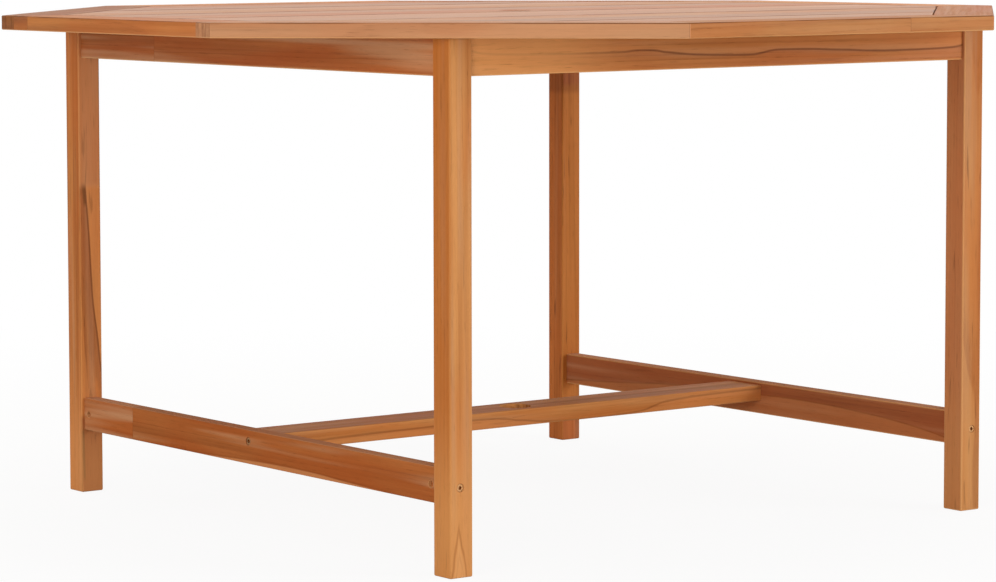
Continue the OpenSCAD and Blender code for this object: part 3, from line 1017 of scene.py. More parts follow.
    def _figured(self, s: Shader, colour: Value, figure: Figure, local: Value, bend: Value) -> Value:
        """Lay one line and its tone on the board.

        Args:
            s: The shader.
            colour: Colour without the figure.
            figure: The figure.
            local: Place along, across and through the board.
            bend: Noise that bends the line.

        Returns:
            The colour with the figure.
        """
        along, across, through = s.parts(local)
        sideways = through if figure.face is Face.FRONT else across
        off = sideways - s.curve(along, figure.points) + bend * LINE_BEND
        beside = off * figure.beside.value
        fade = beside.ramp(figure.reach, figure.reach * FADE_START)
        fill = beside.ramp(0, TONE_EDGE) * fade * figure.fill
        mark = s.math("ABSOLUTE", off).ramp(*LINE_HALF) * figure.line
        start, stop = figure.span
        shown = along.ramp(start, start + SPAN_FADE) * along.ramp(stop, stop - SPAN_FADE)
        if figure.face is Face.FRONT:
            shown = shown * across.ramp(*FRONT_SKIN)
        elif figure.face is Face.LEFT:
            shown = shown * through.ramp(*LEFT_SKIN)
        elif figure.face is Face.TOP:
            _, _, up = s.parts(s.node("ShaderNodeTexCoord", "Normal"))
            shown = shown * up.ramp(*TOP_FACING)
        colour = s.blend(fill * shown, colour, linear(figure.colour))
        return s.blend(mark * shown, colour, linear(LINE_DARK))

    def _arched(self, s: Shader, colour: Value, local: Value) -> Value:
        """Lay a pale pointed figure on the front face of the board, as wood shows near a knot.

        The figure is where the place along the board lies below the tip by more than ARCH_STEEPNESS
        times the distance from its middle line. A dark line follows its rim, and a fainter one
        follows inside it.

        Args:
            s: The shader.
            colour: Colour without the figure.
            local: Place along, across and through the board.

        Returns:
            The colour with the figure.
        """
        tip, middle = self.arch
        along, across, through = s.parts(local)
        front = across.ramp(*FRONT_SKIN)
        wobble = Pattern.WOBBLE.at(s, local) - 0.5
        aside = s.math("ABSOLUTE", through - middle + wobble * ARCH_WOBBLE)
        depth = tip - along - aside * ARCH_STEEPNESS
        inside = depth.ramp(0, ARCH_EDGE) * front
        colour = s.blend(inside * ARCH_FILL, colour, linear(ARCH_PALE))
        rim = s.math("ABSOLUTE", depth).ramp(*RIM_HALF)
        inner = s.math("ABSOLUTE", depth - INNER_PLACE).ramp(*INNER_HALF)
        return s.blend((rim * RIM_FILL + inner * INNER_FILL) * front, colour, linear(ARCH_RIM))

    def _end_grain(self, s: Shader, turn: Euler) -> Value:
        """Find where the surface cuts across the fibres.

        Args:
            s: The shader.
            turn: Rotation that takes X to the grain.

        Returns:
            1 on cut ends and 0 where the surface runs along the fibres.
        """
        facing = s.node("ShaderNodeTexCoord", "Normal")
        axis = turn.to_matrix() @ Vector((1, 0, 0))
        dot = s.vector("DOT_PRODUCT", "Value", facing, tuple(axis))
        return s.math("ABSOLUTE", dot).ramp(*END_FACING)

    def _worn_and_lit(self, s: Shader, colour: Value, sample: Value, streak: Value) -> Value:
        """Make edges and holes pale where their wear and light is above 0, and darken them below it.

        Args:
            s: The shader.
            colour: Colour without the wear and painted light.
            sample: Place that the noises read.
            streak: Streaks of the wood, which the pale wear and highlight follow.

        Returns:
            The colour with the wear and painted light.
        """
        # Pale is wear with a painted highlight on edges and painted light in holes; dark is painted shade
        # in holes and plank gaps, and the rails' darkened upper edge.
        given = s.node("ShaderNodeAttribute", "Fac", {"attribute_name": "wear_and_light"})
        worn_and_lit = s.math("MAXIMUM", given, 0.0) * self.wear_and_light + s.math("MINIMUM", given, 0.0)
        colour = s.blend(worn_and_lit * (PALE_RUB_AND_HIGHLIGHT + streak * PALE_STREAK), colour, linear(RUB_AND_HIGHLIGHT_PALE))
        dash = Pattern.DASH.at(s, sample)
        return s.blend(worn_and_lit * (dash * DARK_DASH + DARK_PLAIN), colour, linear(EDGE_AND_HOLE_DARK))


@dataclass(frozen=True)
class ZincSteel:
    """Finish of the fasteners: yellow passivated zinc on steel, finely scratched, with a dull bloom.

    Attributes:
        name: Name of the material.
        colour: Colour of the clean metal.
        bloom: Colour of the dull clouds on it.
        spread: Values of the clouds between which the bloom comes in.
        cover: Strength of the bloom.
        rough: Roughness of the clean metal, and what clouds and scratches add to it.
    """

    name: str = "zinc_steel"
    colour: Triple = (178, 132, 88)
    bloom: Triple = (118, 84, 54)
    spread: Pair = (0.4, 0.7)
    cover: float = 0.7
    rough: Triple = (0.26, 0.18, 0.10)

    def material(self) -> bpy.types.Material:
        """Make the material.

        Returns:
            The material.
        """
        s = Shader(self.name)
        place = s.node("ShaderNodeTexCoord", "Object")
        cloud = Pattern.CLOUD.at(s, place)
        scratch = Pattern.SCRATCH.at(s, place)
        covered = cloud.ramp(*self.spread) * self.cover
        colour = s.blend(covered, linear(self.colour), linear(self.bloom))
        clean, clouded, scratched = self.rough
        rough = clean + cloud * clouded + scratch * scratched
        surface = {"Base Color": colour, "Roughness": rough, "Metallic": 1.0}
        return s.finish(surface, cloud + scratch, bump=0.15, depth=0.1 * MM)


@dataclass(frozen=True)
class DowelWood:
    """Finish of the dowels: pale hardwood with short dark flecks along the grain.

    Attributes:
        pale: Colour of the wood.
        fleck: Colour of the flecks.
        cover: Strength of the flecks and of the streaks.
        rough: Roughness of the wood, and what flecks add to it.
    """

    pale: Triple = (214, 180, 136)
    fleck: Triple = (168, 126, 84)
    cover: Pair = (0.6, 0.2)
    rough: Pair = (0.55, 0.1)

    def material(self) -> bpy.types.Material:
        """Make the material.

        Returns:
            The material.
        """
        s = Shader("dowel_wood")
        place = s.node("ShaderNodeTexCoord", "Object")
        flecks = Pattern.FLECK.at(s, place)
        streaks = Pattern.DOWEL_STREAK.at(s, place)
        covered = flecks * self.cover[0] + streaks * self.cover[1]
        colour = s.blend(covered, linear(self.pale), linear(self.fleck))
        surface = {"Base Color": colour, "Roughness": self.rough[0] + flecks * self.rough[1]}
        return s.finish(surface, flecks, bump=0.2, depth=0.2 * MM)


# Rotations that take X to a board's grain, Y to its width and Z to its thickness.
FLAT = Euler((0, 0, 0))
ACROSS = Euler((0, 0, math.pi / 2))
UPRIGHT_X = Euler((math.pi / 2, 0, 0))
UPRIGHT_Y = Euler((math.pi / 2, 0, math.pi / 2))
STANDING = Euler((0, -math.pi / 2, 0))


def dress(piece: bpy.types.Object, node: str, finish: Teak, turn: Euler) -> None:
    """Give a new piece its finish and let it stand for a CAD node.

    Args:
        piece: The new piece.
        node: CAD node that it replaces.
        finish: The board's finish.
        turn: Rotation of the grain.
    """
    low, high = box_of(node)
    piece.data.materials.clear()
    piece.data.materials.append(finish.material(f"{node}_teak", tuple((low + high) / 2), turn))
    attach(piece, "root")
    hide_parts(node)
    LOG.info("%s: %d faces", piece.name, len(piece.data.polygons))


@dataclass
class TableTop:
    """Slatted top: eight frame rails round eleven planks.

    Attributes:
        planks: Names of the planks, from the front.
        shades: Tone and light of each plank.
        seeds: Seed of the first plank, and its step from plank to plank.
        top_half: Half the width of the top across two opposite sides.
        side_half: Half the length of its front side.
        rail: Width of the frame rails.
        low: Height of the underside.
        high: Height of the top face.
        outer, grooved, joint: How a rail's outer side, its side at the planks and its ends are worked.
    """

    planks: list[str] = field(default_factory=lambda: [
        "centre_plank" if k == 6 else f"plank_{k}" for k in range(1, 12)])
    shades: tuple[tuple[Tone, float], ...] = (
        (Tone.ROSE, 0.90), (Tone.ROSE, 0.80), (Tone.HONEY, 0.78), (Tone.ROSE, 0.88), (Tone.ROSE, 0.96),
        (Tone.AMBER, 0.92), (Tone.ROSE, 0.84), (Tone.HONEY, 0.80), (Tone.ROSE, 0.92), (Tone.ROSE, 0.82),
        (Tone.AMBER, 0.90))
    seeds: Pair = (21.7, 4.3)
    top_half: float = field(init=False)
    side_half: float = field(init=False)
    rail: float = field(init=False)
    low: float = field(init=False)
    high: float = field(init=False)
    outer: Side = Side(RAIL_ARRIS)
    grooved: Side = Side(PLANK_ARRIS, TONGUE_LENGTH + GROOVE_GAP)
    joint: Side = Side()

    def __post_init__(self) -> None:
        """Read the sizes from the front rail."""
        low, high = box_of("rail_front")
        self.top_half, self.side_half = -low[1], high[0]
        self.rail = high[1] - low[1]
        self.low, self.high = low[2], high[2]

    @property
    def mitre(self) -> float:
        """Length that a mitre takes off the inner edge of a rail."""
        return self.rail * (ROOT_TWO - 1)

    @property
    def middle(self) -> float:
        """Height of the middle of the boards."""
        return (self.low + self.high) / 2

    def board(self, name: str, outline: np.ndarray, sides: list[Side], wear_and_light: float,
              sink: float = 0.0) -> bpy.types.Object:
        """Make a board of the top.

        Args:
            name: Name of the object.
            outline: Corners of the outline seen from above, counter-clockwise.
            sides: How the side after each corner is worked.
            wear_and_light: Wear and painted light of the upper arris, dark below 0.
            sink: Depth of its upper face under that of the frame.

        Returns:
            The object.
        """
        grooved = self.grooved in sides
        return Board(name, outline, sides, (self.high - sink - self.low) / 2,
                     Axes((0, 0, self.middle - sink / 2), (1, 0, 0), (0, 1, 0)),
                     step_half=TONGUE_HALF + (GROOVE_GAP / 2 if grooved else 0),
                     upper_wear_and_light=wear_and_light).build()

    def straight_rail(self, name: str) -> bpy.types.Object:
        """Make the front, back, left or right rail.

        The front and back rails are mitred at both ends and the left and right ones are square.

        Args:
            name: CAD node of the rail.

        Returns:
            The rail.
        """
        h, s, w, m = self.top_half, self.side_half, self.rail, self.mitre
        if name in ("rail_front", "rail_back"):
            outline = np.array([(-s, -h), (s, -h), (s - m, w - h), (m - s, w - h)])
            sides = [self.outer, self.joint, self.grooved, self.joint]
            turn = np.eye(2) if name == "rail_front" else -np.eye(2)
        else:
            outline = np.array([(-h, m - s), (w - h, m - s), (w - h, s - m), (-h, s - m)])
            sides = [self.joint, self.grooved, self.joint, self.outer]
            turn = np.eye(2) if name == "rail_left" else -np.eye(2)
        return self.board(f"{name}_board", outline @ turn, sides, RIM_EDGE_DARK)

    def corner_rail(self, corner: str, sign: tuple[int, int]) -> bpy.types.Object:
        """Make a corner rail, with its exposed end on the left or right side of the top.

        Args:
            corner: Name of the corner.
            sign: Which way the corner lies in X and Y.

        Returns:
            The rail.
        """
        h, s, w, m = self.top_half, self.side_half, self.rail, self.mitre
        outline = np.array([(-s, -h), (m - s, w - h), (w - h, m - s), (-h, m - s), (-h, -s)])
        sides = [self.joint, self.grooved, self.joint, self.outer, self.outer]
        outline = outline * (-sign[0], -sign[1])
        if sign[0] != sign[1]:
            outline = outline[::-1]
            sides = [*sides[-2::-1], sides[-1]]
        return self.board(f"corner_rail_{corner}_board", outline, sides, RIM_EDGE_DARK)

    def plank(self, number: int) -> bpy.types.Object:
        """Make a plank, with tongues on the edges that meet the frame.

        Its ends follow the octagon inside the frame: x = H up to |y| = S, then H - (|y| - S).

        Args:
            number: Number of the plank, from 0 at the front.

        Returns:
            The plank.
        """
        second, third = box_of(self.planks[1])[1][1], box_of(self.planks[2])[0][1]
        gap = third - second
        pitch = box_of(self.planks[3])[0][1] - third
        span = pitch * len(self.planks) - gap
        reach = span / 2
        straight = self.side_half - (self.top_half - reach) * (ROOT_TWO - 1)
        low = number * pitch - reach
        ends = np.array([low, low + pitch - gap])
        breaks = [y for y in (-straight, straight) if ends[0] < y < ends[1]]
        y = np.sort(np.concatenate([ends, breaks]))
        x = np.minimum(reach, reach - (np.abs(y) - straight))
        tongued = Side(PLANK_ARRIS, -TONGUE_LENGTH - (self.top_half - self.rail - reach))
        plain = Side(PLANK_ARRIS)
        outline = np.concatenate([np.stack([x, y], axis=1), np.stack([-x, y], axis=1)[::-1]])
        rise = [tongued] * (len(y) - 1)
        back = tongued if number == len(self.planks) - 1 else plain
        front = tongued if number == 0 else plain
        # Even planks get painted shadow along their upper edges at the gaps; odd ones pale wear with a
        # painted highlight.
        return self.board(f"{self.planks[number]}_board", outline, [*rise, back, *rise, front],
                          PLANK_WEAR_AND_GAP_SHADOW[number % 2], PLANK_SINK[number % 2])

    def build(self) -> None:
        """Build and dress the frame rails and the planks.

        The rails' joints are finger joints, where a paler or darker piece of wood starts.
        """
        rails = {
            "rail_front": (Teak(Tone.HONEY, Grain.RIFT, seed=3.1, light=0.72, shine=0.10, veil=0.1,
                                joints=((0.119, 1.05),)), FLAT),
            "rail_back": (Teak(Tone.HONEY, Grain.RIFT, seed=8.4, shine=0.12), FLAT),
            "rail_left": (Teak(Tone.AMBER, Grain.QUARTER, seed=5.2, light=0.98, shine=0.12, veil=0.1,
                               joints=((0.205, 0.86),)), ACROSS),
            "rail_right": (Teak(Tone.HONEY, Grain.RIFT, seed=9.7, shine=0.12), ACROSS),
        }
        for name, (finish, turn) in rails.items():
            dress(self.straight_rail(name), name, finish, turn)
        corner_rails = {
            "front_left": Teak(Tone.ROSE, Grain.QUARTER, seed=11.3, light=0.98, contrast=0.7, shine=0.12,
                               joints=((0.3212, 1.3),)),
            "front_right": Teak(Tone.AMBER, Grain.QUARTER, seed=14.2, light=0.86, contrast=0.3, shine=0.12),
            "back_left": Teak(Tone.AMBER, Grain.QUARTER, seed=17.1, light=0.62, contrast=0.7, shine=0.12),
            "back_right": Teak(Tone.AMBER, Grain.QUARTER, seed=20.0, light=0.86, contrast=0.7, shine=0.12),
        }
        for corner, sign in CORNERS.items():
            turn = Euler((0, 0, -sign[0] * sign[1] * math.pi / 4))
            dress(self.corner_rail(corner, sign), f"corner_rail_{corner}",
                  corner_rails[corner], turn)
        grains = [Grain.FLAT, Grain.RIFT, Grain.ARCHED, Grain.RIFT, Grain.FLAT]
        seed, seed_step = self.seeds
        for number, name in enumerate(self.planks):
            piece = self.plank(number)
            if name == "centre_plank":
                # The parasol hole's wall gets painted shade.
                cut(piece, [parasol_cutter(self.low, self.high, BORE_SHADE)])
            tone, light = self.shades[number]
            finish = Teak(tone, grains[number % len(grains)], seed=seed + seed_step * number,
                          light=light, contrast=0.9, shine=0.55)
            dress(piece, name, finish, FLAT)


def parasol_cutter(low: float, high: float, wear_and_light: float) -> bpy.types.Object:
    """Make a cutter for the parasol hole through a board, with both mouths rounded over.

    Args:
        low: Height of the board's lower face.
        high: Height of its upper face.
        wear_and_light: Painted light of the hole's wall, painted shade below 0.

    Returns:
        The cutter.
    """
    radius = frame["record"]["mounts"][0]["dims"]["r_mm"] * MM
    upper = np.array(eased_bore(radius, (high - low) / 2, PARASOL_EASE))
    lower = upper[::-1] * (-1, 1)
    profile = np.concatenate([upper, lower[1:] + (high - low, 0)])
    return turned("cutter", profile.tolist(), (0, 0, low), (0, 0, 1), wear_and_light)


@dataclass
class Legs:
    """Four square legs, with the seats of the corner blocks and the recesses of the bolts.

    Attributes:
        seat: Width that a leg's flat takes off each inner face.
        shank: Radius of a bolt's hole.
    """

    seat: float = 12 * MM
    shank: float = 3.3 * MM

    def leg(self, corner: str, sign: tuple[int, int]) -> bpy.types.Object:
        """Make a leg: a square section with rounded edges, carried up from the floor.

        Args:
            corner: Name of its corner.
            sign: Which way the corner lies in X and Y.

        Returns:
            The leg.
        """
        low, high = box_of(f"leg_{corner}")
        size = high - low
        piece = Board(f"leg_{corner}_post", rectangle(size[0], size[1]), [Side(LEG_ARRIS)] * 4,
                      size[2] / 2, Axes(tuple((low + high) / 2), (1, 0, 0), (0, 1, 0)),
                      corner_round=LEG_ARRIS).build()
        return cut(piece, [self.seat_cutter(low, high, sign), self.bolt_cutter(low, high, sign)])

    def seat_cutter(self, low: np.ndarray, high: np.ndarray, sign: tuple[int, int]) -> bpy.types.Object:
        """Make the cutter of the flat on the inner edge of a leg, where its corner block sits.

        Args:
            low: Lowest corner of the leg.
            high: Highest corner of the leg.
            sign: Which way its corner lies in X and Y.

        Returns:
            The cutter.
        """
        inner = np.array([low[0] if sign[0] > 0 else high[0], low[1] if sign[1] > 0 else high[1]])
        size = high[0] - low[0]
        inward = np.array([-sign[0], -sign[1]]) / ROOT_TWO
        centre = inner + inward * (size - self.seat / ROOT_TWO)
        bottom = box_of("apron_front")[0][2]
        across = (-inward[1], inward[0], 0)
        top = high[2] + size
        return Board("cutter", rectangle(2 * size, 2 * size), [Side(0)] * 4, (top - bottom) / 2,
                     Axes((*centre, (top + bottom) / 2), (*inward, 0), across)).build()

    def bolt_cutter(self, low: np.ndarray, high: np.ndarray, sign: tuple[int, int]) -> bpy.types.Object:
        """Make the cutter of the bolt's recess and hole in the front or back face of a leg.

        Args:
            low: Lowest corner of the leg.
            high: Highest corner of the leg.
            sign: Which way its corner lies in X and Y.

        Returns:
            The cutter.
        """
        side = "left" if sign[0] < 0 else "right"
        below, above = box_of(f"end_stretcher_{side}")
        face = low[1] if sign[1] < 0 else high[1]
        centre = ((below[0] + above[0]) / 2, face, (below[2] + above[2]) / 2)
        radius, depth = BOLT_RECESS
        profile = eased_bore(radius, depth) + [(depth + HAIR, self.shank),
                                               (high[1] - low[1] + self.shank, self.shank)]
        return turned("cutter", profile, centre, (0, -sign[1], 0))

    def build(self) -> None:
        """Build and dress the legs.

        The figures of the back left leg are a slanting line with a paler and a darker side, a dark
        foot with a short line, and a paler head.
        """
        slant = ((-0.190, -0.0215), (-0.173, -0.0165), (-0.120, -0.0101), (-0.065, -0.0026),
                 (-0.018, 0.0005), (0.037, 0.0035), (0.112, 0.0095), (0.140, 0.0125))
        slanted = (-0.25, 0.122)
        foot = ((-0.38, 0.0110), (-0.30, 0.0130), (-0.22, 0.0142))
        finishes = {
            "front_left": Teak(
                Tone.HONEY, Grain.RIFT, seed=2.3, light=0.92, contrast=0.8, veil=0.5, wear_and_light=0.4,
                glow=Glow(-0.10, -0.32, 0.66), arch=(-0.297, 0.004),
                figures=(stain_and_light(0.60, (182, 98, 28), Face.LEFT),)),
            "front_right": Teak(
                Tone.HONEY, Grain.QUARTER, seed=6.1, light=0.82, contrast=1.3, marks=0.45, veil=0.4,
                glow=Glow(-0.10, -0.32, 0.40), figures=(stain_and_light(0.65, (210, 136, 92), Face.LEFT),)),
            "back_left": Teak(
                Tone.AMBER, Grain.QUARTER, seed=4.8, light=1.06, contrast=1.2, marks=0.3, veil=0.35,
                wear_and_light=0.35, glow=Glow(-0.12, -0.34, 0.45), figures=(
                    Figure(slant, 0.40, (216, 144, 84), Beside.BELOW, line=0.75, span=slanted,
                           face=Face.FRONT),
                    Figure(slant, 0.45, (138, 82, 52), reach=0.020, span=slanted, face=Face.FRONT),
                    Figure(slant, 0.70, (104, 62, 28), reach=0.008, span=(0.078, 0.122),
                           face=Face.FRONT),
                    stain_and_light(0.90, (112, 42, 26), Face.FRONT, (-0.50, -0.240)),
                    Figure(foot, 0.95, (30, 8, 4), reach=0.0065, span=(-0.350, -0.262),
                           face=Face.FRONT),
                    stain_and_light(0.45, (196, 138, 96), Face.FRONT, (0.106, 0.50)))),
            "back_right": Teak(
                Tone.RUSSET, Grain.RIFT, seed=7.9, light=1.06, contrast=1.5, marks=0.5, wear_and_light=0.2,
                figures=(
                    stain_and_light(0.45, (192, 112, 48), Face.LEFT),
                    stain_and_light(0.50, (176, 112, 44), Face.FRONT, (-0.30, 0.25)),
                    # Painted shade at the head of the leg, where the table top shades it.
                    stain_and_light(0.32, (84, 38, 24), span=(0.225, 0.50)),
                    stain_and_light(0.32, (84, 38, 24), span=(0.262, 0.50)))),
        }
        for corner, sign in CORNERS.items():
            dress(self.leg(corner, sign), f"leg_{corner}", finishes[corner], STANDING)


@dataclass
class Aprons:
    """Four aprons under the top, the front and back ones with pockets for the battens.

    Attributes:
        pocket: Depth of the pockets.
        slack: Space beside a batten in its pocket.
    """

    pocket: float = 6 * MM
    slack: float = 0.1 * MM

    def apron(self, name: str) -> bpy.types.Object:
        """Make an apron, its section carried along its length.

        Args:
            name: CAD node of the apron.

        Returns:
            The apron.
        """
        low, high = box_of(name)
        if name in ("apron_front", "apron_back"):
            piece = section_board(f"{name}_board", low, high, Run.X)
            edge = -1 if name == "apron_front" else 1
            return cut(piece, [self.pocket_cutter(side, low, high, edge) for side in ("left", "right")])
        return section_board(f"{name}_board", low, high, Run.Y)

    def pocket_cutter(self, side: str, low: np.ndarray, high: np.ndarray, edge: int) -> bpy.types.Object:
        """Make the cutter of the pocket that takes the end of a batten.

        Args:
            side: Side of the table that the batten is on.
            low: Lowest corner of the apron.
            high: Highest corner of the apron.
            edge: -1 for the front apron, 1 for the back one.

        Returns:
            The cutter.
        """
        start, end = box_of(f"batten_{side}")
        inner = high[1] if edge < 0 else low[1]
        depth = inner + edge * self.pocket
        front, back = sorted([depth, inner - edge * self.pocket])
        return block_cutter(np.array([start[0] - self.slack, front, start[2] - self.slack]),
                            np.array([end[0] + self.slack, back, high[2] + self.pocket]))

    def build(self) -> None:
        """Build and dress the aprons, the front one with a dark vein along it."""
        vein = ((-0.449, 0.0064), (-0.317, 0.0006), (-0.195, 0.0005), (-0.163, 0.0021),
                (-0.118, -0.0013), (-0.017, -0.0079), (0.038, -0.0087), (0.098, -0.0027),
                (0.216, -0.0054), (0.328, -0.0087), (0.458, -0.0042))
        finishes = {
            "apron_front": Teak(Tone.AMBER, Grain.RIFT, seed=13.9, light=0.96, contrast=0.8,
                                glow=Glow(-0.14, -0.34, 0.66), figures=(
                                    Figure(vein, 0.30, (206, 140, 84), line=0.66, reach=0.015),)),
            "apron_back": Teak(Tone.RUSSET, Grain.RIFT, seed=15.2, light=1.10),
            "apron_left": Teak(Tone.RUSSET, Grain.RIFT, seed=17.4, light=1.08, contrast=0.7, veil=0.75,
                               joints=((0.247, 1.0),)),
            "apron_right": Teak(Tone.RUSSET, Grain.RIFT, seed=19.8, light=1.10),
        }
        for name, finish in finishes.items():
            turn = UPRIGHT_X if name in ("apron_front", "apron_back") else UPRIGHT_Y
            dress(self.apron(name), name, finish, turn)


class Run(Enum):
    """Direction that a beam runs in, as the number of its axis."""

    X = 0
    Y = 1


def section_board(name: str, low: np.ndarray, high: np.ndarray, run: Run) -> bpy.types.Object:
    """Make a beam with rounded edges between two corners, its section carried along its length.

    Args:
        name: Name of the object.
        low: Lowest corner.
        high: Highest corner.
        run: Direction of its length.

    Returns:
        The beam.
    """
    size = high - low
    sideways, width = ((0, 1, 0), size[1]) if run is Run.X else ((-1, 0, 0), size[0])
    axes = Axes(tuple((low + high) / 2), sideways, (0, 0, 1))
    return Board(name, rectangle(width, size[2]), [Side(SMOOTH_ARRIS)] * 4, size[run.value] / 2, axes,
                 corner_round=BOARD_ARRIS).build()


@dataclass
class Stretchers:
    """H of low stretchers: two on edge between the legs and a flat one with the parasol hole.

    Attributes:
        nut: Radius of the hole of a barrel nut.
        nut_back: Distance of an end stretcher's nuts from the legs.
        centre_nut_back: Distance of the centre stretcher's nuts from the end stretchers.
        nut_half: Distance that a nut's hole goes past the middle of its board.
    """

    nut: float = 5.1 * MM
    nut_back: float = 13 * MM
    centre_nut_back: float = 27 * MM
    nut_half: float = 7 * MM

    def end_stretcher(self, name: str) -> bpy.types.Object:
        """Make an end stretcher, with the middle bolt's recess and the holes of two barrel nuts.

        Args:
            name: CAD node of the stretcher.

        Returns:
            The stretcher.
        """
        low, high = box_of(name)
        piece = section_board(f"{name}_board", low, high, Run.Y)
        out = -1 if name == "end_stretcher_left" else 1
        face = low[0] if out < 0 else high[0]
        middle = (low + high) / 2
        flat_low, flat_high = box_of("centre_stretcher")
        radius, depth = BOLT_RECESS
        recess = turned("cutter", eased_bore(radius, depth),
                        (face, 0, (flat_low[2] + flat_high[2]) / 2), (-out, 0, 0))
        reach = abs(face - middle[0]) + self.nut_half
        # The nut holes' walls get painted light, which keeps the holes from reading dark.
        nuts = [turned("cutter", eased_bore(self.nut, reach, NUT_EASE), (face, y, middle[2]),
                       (-out, 0, 0), NUT_WALL_LIGHT)
                for y in (low[1] + self.nut_back, high[1] - self.nut_back)]
        return cut(piece, [recess, *nuts])

    def centre_stretcher(self) -> bpy.types.Object:
        """Make the flat stretcher, with the parasol hole and the holes of two barrel nuts.

        Returns:
            The stretcher.
        """
        low, high = box_of("centre_stretcher")
        piece = section_board("centre_stretcher_board", low, high, Run.X)
        reach = (high[2] - low[2]) / 2 + self.nut_half
        nuts = [turned("cutter", eased_bore(self.nut, reach, NUT_EASE), (x, 0, low[2]), (0, 0, 1))
                for x in (low[0] + self.centre_nut_back, high[0] - self.centre_nut_back)]
        # The parasol hole's wall gets painted light; the nut holes get painted shade.
        return cut(piece, [parasol_cutter(low[2], high[2], POLE_WALL_LIGHT), *nuts])

    def build(self) -> None:
        """Build and dress the stretchers.

        The near end stretcher has a paler lower edge, the far one a bow with a darker side, and the
        centre stretcher a line that rises and falls.
        """
        edge = ((-0.400, -0.0265), (-0.370, -0.0248), (-0.237, -0.0200), (-0.118, -0.0170),
                (0.014, -0.0190), (0.091, -0.0220), (0.231, -0.0255))
        band = ((-0.4514, -0.0164), (-0.393, -0.0083), (-0.334, -0.0024), (-0.2745, 0.0018),
                (-0.177, 0.0059), (-0.107, 0.0067), (-0.0445, 0.0055), (0.188, -0.0004),
                (0.25, -0.0050), (0.313, -0.0096), (0.368, -0.0134), (0.4246, -0.0171))
        # Painted light on the faces that look up, which the lamps hardly reach under the table top.
        lit_top = stain_and_light(0.38, (226, 180, 146), Face.TOP)
        near = Teak(Tone.RUSSET, Grain.RIFT, seed=31.6, light=0.98, contrast=0.7, shine=0.0, veil=0.68,
                    wear_and_light=0.1, joints=((0.317, 1.08),), figures=(
                        Figure(edge, 0.70, (206, 140, 92), Beside.BELOW, line=0.20), lit_top))
        far = Teak(Tone.UMBER, Grain.RIFT, seed=33.3, light=1.20, shine=0.0, veil=0.50, figures=(
            Figure(band, 0.75, (164, 102, 64), Beside.BELOW, line=0.25),
            Figure(band, 0.35, (146, 86, 62)), lit_top))
        for name, finish in (("end_stretcher_left", near), ("end_stretcher_right", far)):
            dress(self.end_stretcher(name), name, finish, UPRIGHT_Y)
        swirl = ((-0.44, -0.006), (-0.30, -0.001), (-0.19, 0.000), (-0.11, 0.003), (-0.02, -0.004),
                 (0.10, -0.0118), (0.20, -0.0100), (0.245, -0.003), (0.27, 0.002), (0.33, 0.0055),
                 (0.44, 0.0075))
        flat = Teak(Tone.HONEY, Grain.RIFT, seed=35.1, light=0.92, shine=0.03, wear_and_light=0.3, figures=(
            Figure(swirl, 0.45, (212, 136, 78), Beside.BELOW, line=0.35, face=Face.FRONT),))
        dress(self.centre_stretcher(), "centre_stretcher", flat, FLAT)


@dataclass
class InnerParts:
    """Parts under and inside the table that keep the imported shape.

    Attributes:
        metal: Nodes of the fasteners.
        dowels: Nodes of the dowels.
        beams: Nodes of the battens and ledgers, whose grain runs along Y.
        seeds: Seed of the first batten, and its step through the battens, ledgers and corner blocks.
    """

    metal: tuple[str, ...] = ("stretcher_bolts", "barrel_nuts", "hanger_bolts", "washers", "hex_nuts",
                              "corner_block_screws", "ledger_screws", "plank_screws")
    dowels: tuple[str, ...] = ("frame_dowels", "stretcher_dowels")
    beams: tuple[str, ...] = ("batten_left", "batten_right", "ledger_left", "ledger_right")
    seeds: Pair = (51.3, 3.7)

    def coat(self, node: str, material: bpy.types.Material) -> None:
        """Give a CAD node one material.

        Args:
            node: Name of the node.
            material: The material.
        """
        part = frame["nodes"][node]
        part.data.materials.clear()
        part.data.materials.append(material)
        LOG.info("%s: packed shape", node)

    def build(self) -> None:
        """Dress every part of the group."""
        zinc, dowel = ZincSteel().material(), DowelWood().material()
        # The barrel nuts get a paler copy of the zinc: painted light that keeps them pale in their shaded
        # holes.
        lit_zinc = ZincSteel("zinc_nut_painted_light", (236, 186, 136), (206, 152, 104)).material()
        for node in self.metal:
            self.coat(node, lit_zinc if node == "barrel_nuts" else zinc)
        for node in self.dowels:
            self.coat(node, dowel)
        boards = {node: ACROSS for node in self.beams}
        boards |= {f"corner_block_{corner}": Euler((0, 0, -x * y * math.pi / 4))
                   for corner, (x, y) in CORNERS.items()}
        seed, seed_step = self.seeds
        for count, (node, turn) in enumerate(boards.items()):
            low, high = box_of(node)
            finish = Teak(Tone.AMBER, Grain.RIFT, seed=seed + seed_step * count, light=0.95)
            self.coat(node, finish.material(f"{node}_teak", tuple((low + high) / 2), turn))


@dataclass(frozen=True)
class Lamp:
    """Square soft lamp.

    Attributes:
        name: Name of the lamp.
        spot: Where it hangs.
        size: Length of its sides.
        power: Its power, in watts.
        colour: Colour of its light.
    """

    name: str
    spot: Triple
    size: float
    power: float
    colour: Triple = (1, 1, 1)

    def hang(self, aim: Triple) -> None:
        """Hang the lamp so that it points at a spot.

        Args:
            aim: The spot.
        """
        data = bpy.data.lights.new(self.name, "AREA")
        data.color = self.colour
        data.size = self.size
        data.energy = self.power
        lamp = bpy.data.objects.new(self.name, data)
        lamp.location = self.spot
        lamp.rotation_euler = (Vector(aim) - Vector(self.spot)).to_track_quat("-Z", "Y").to_euler()
        bpy.context.scene.collection.objects.link(lamp)


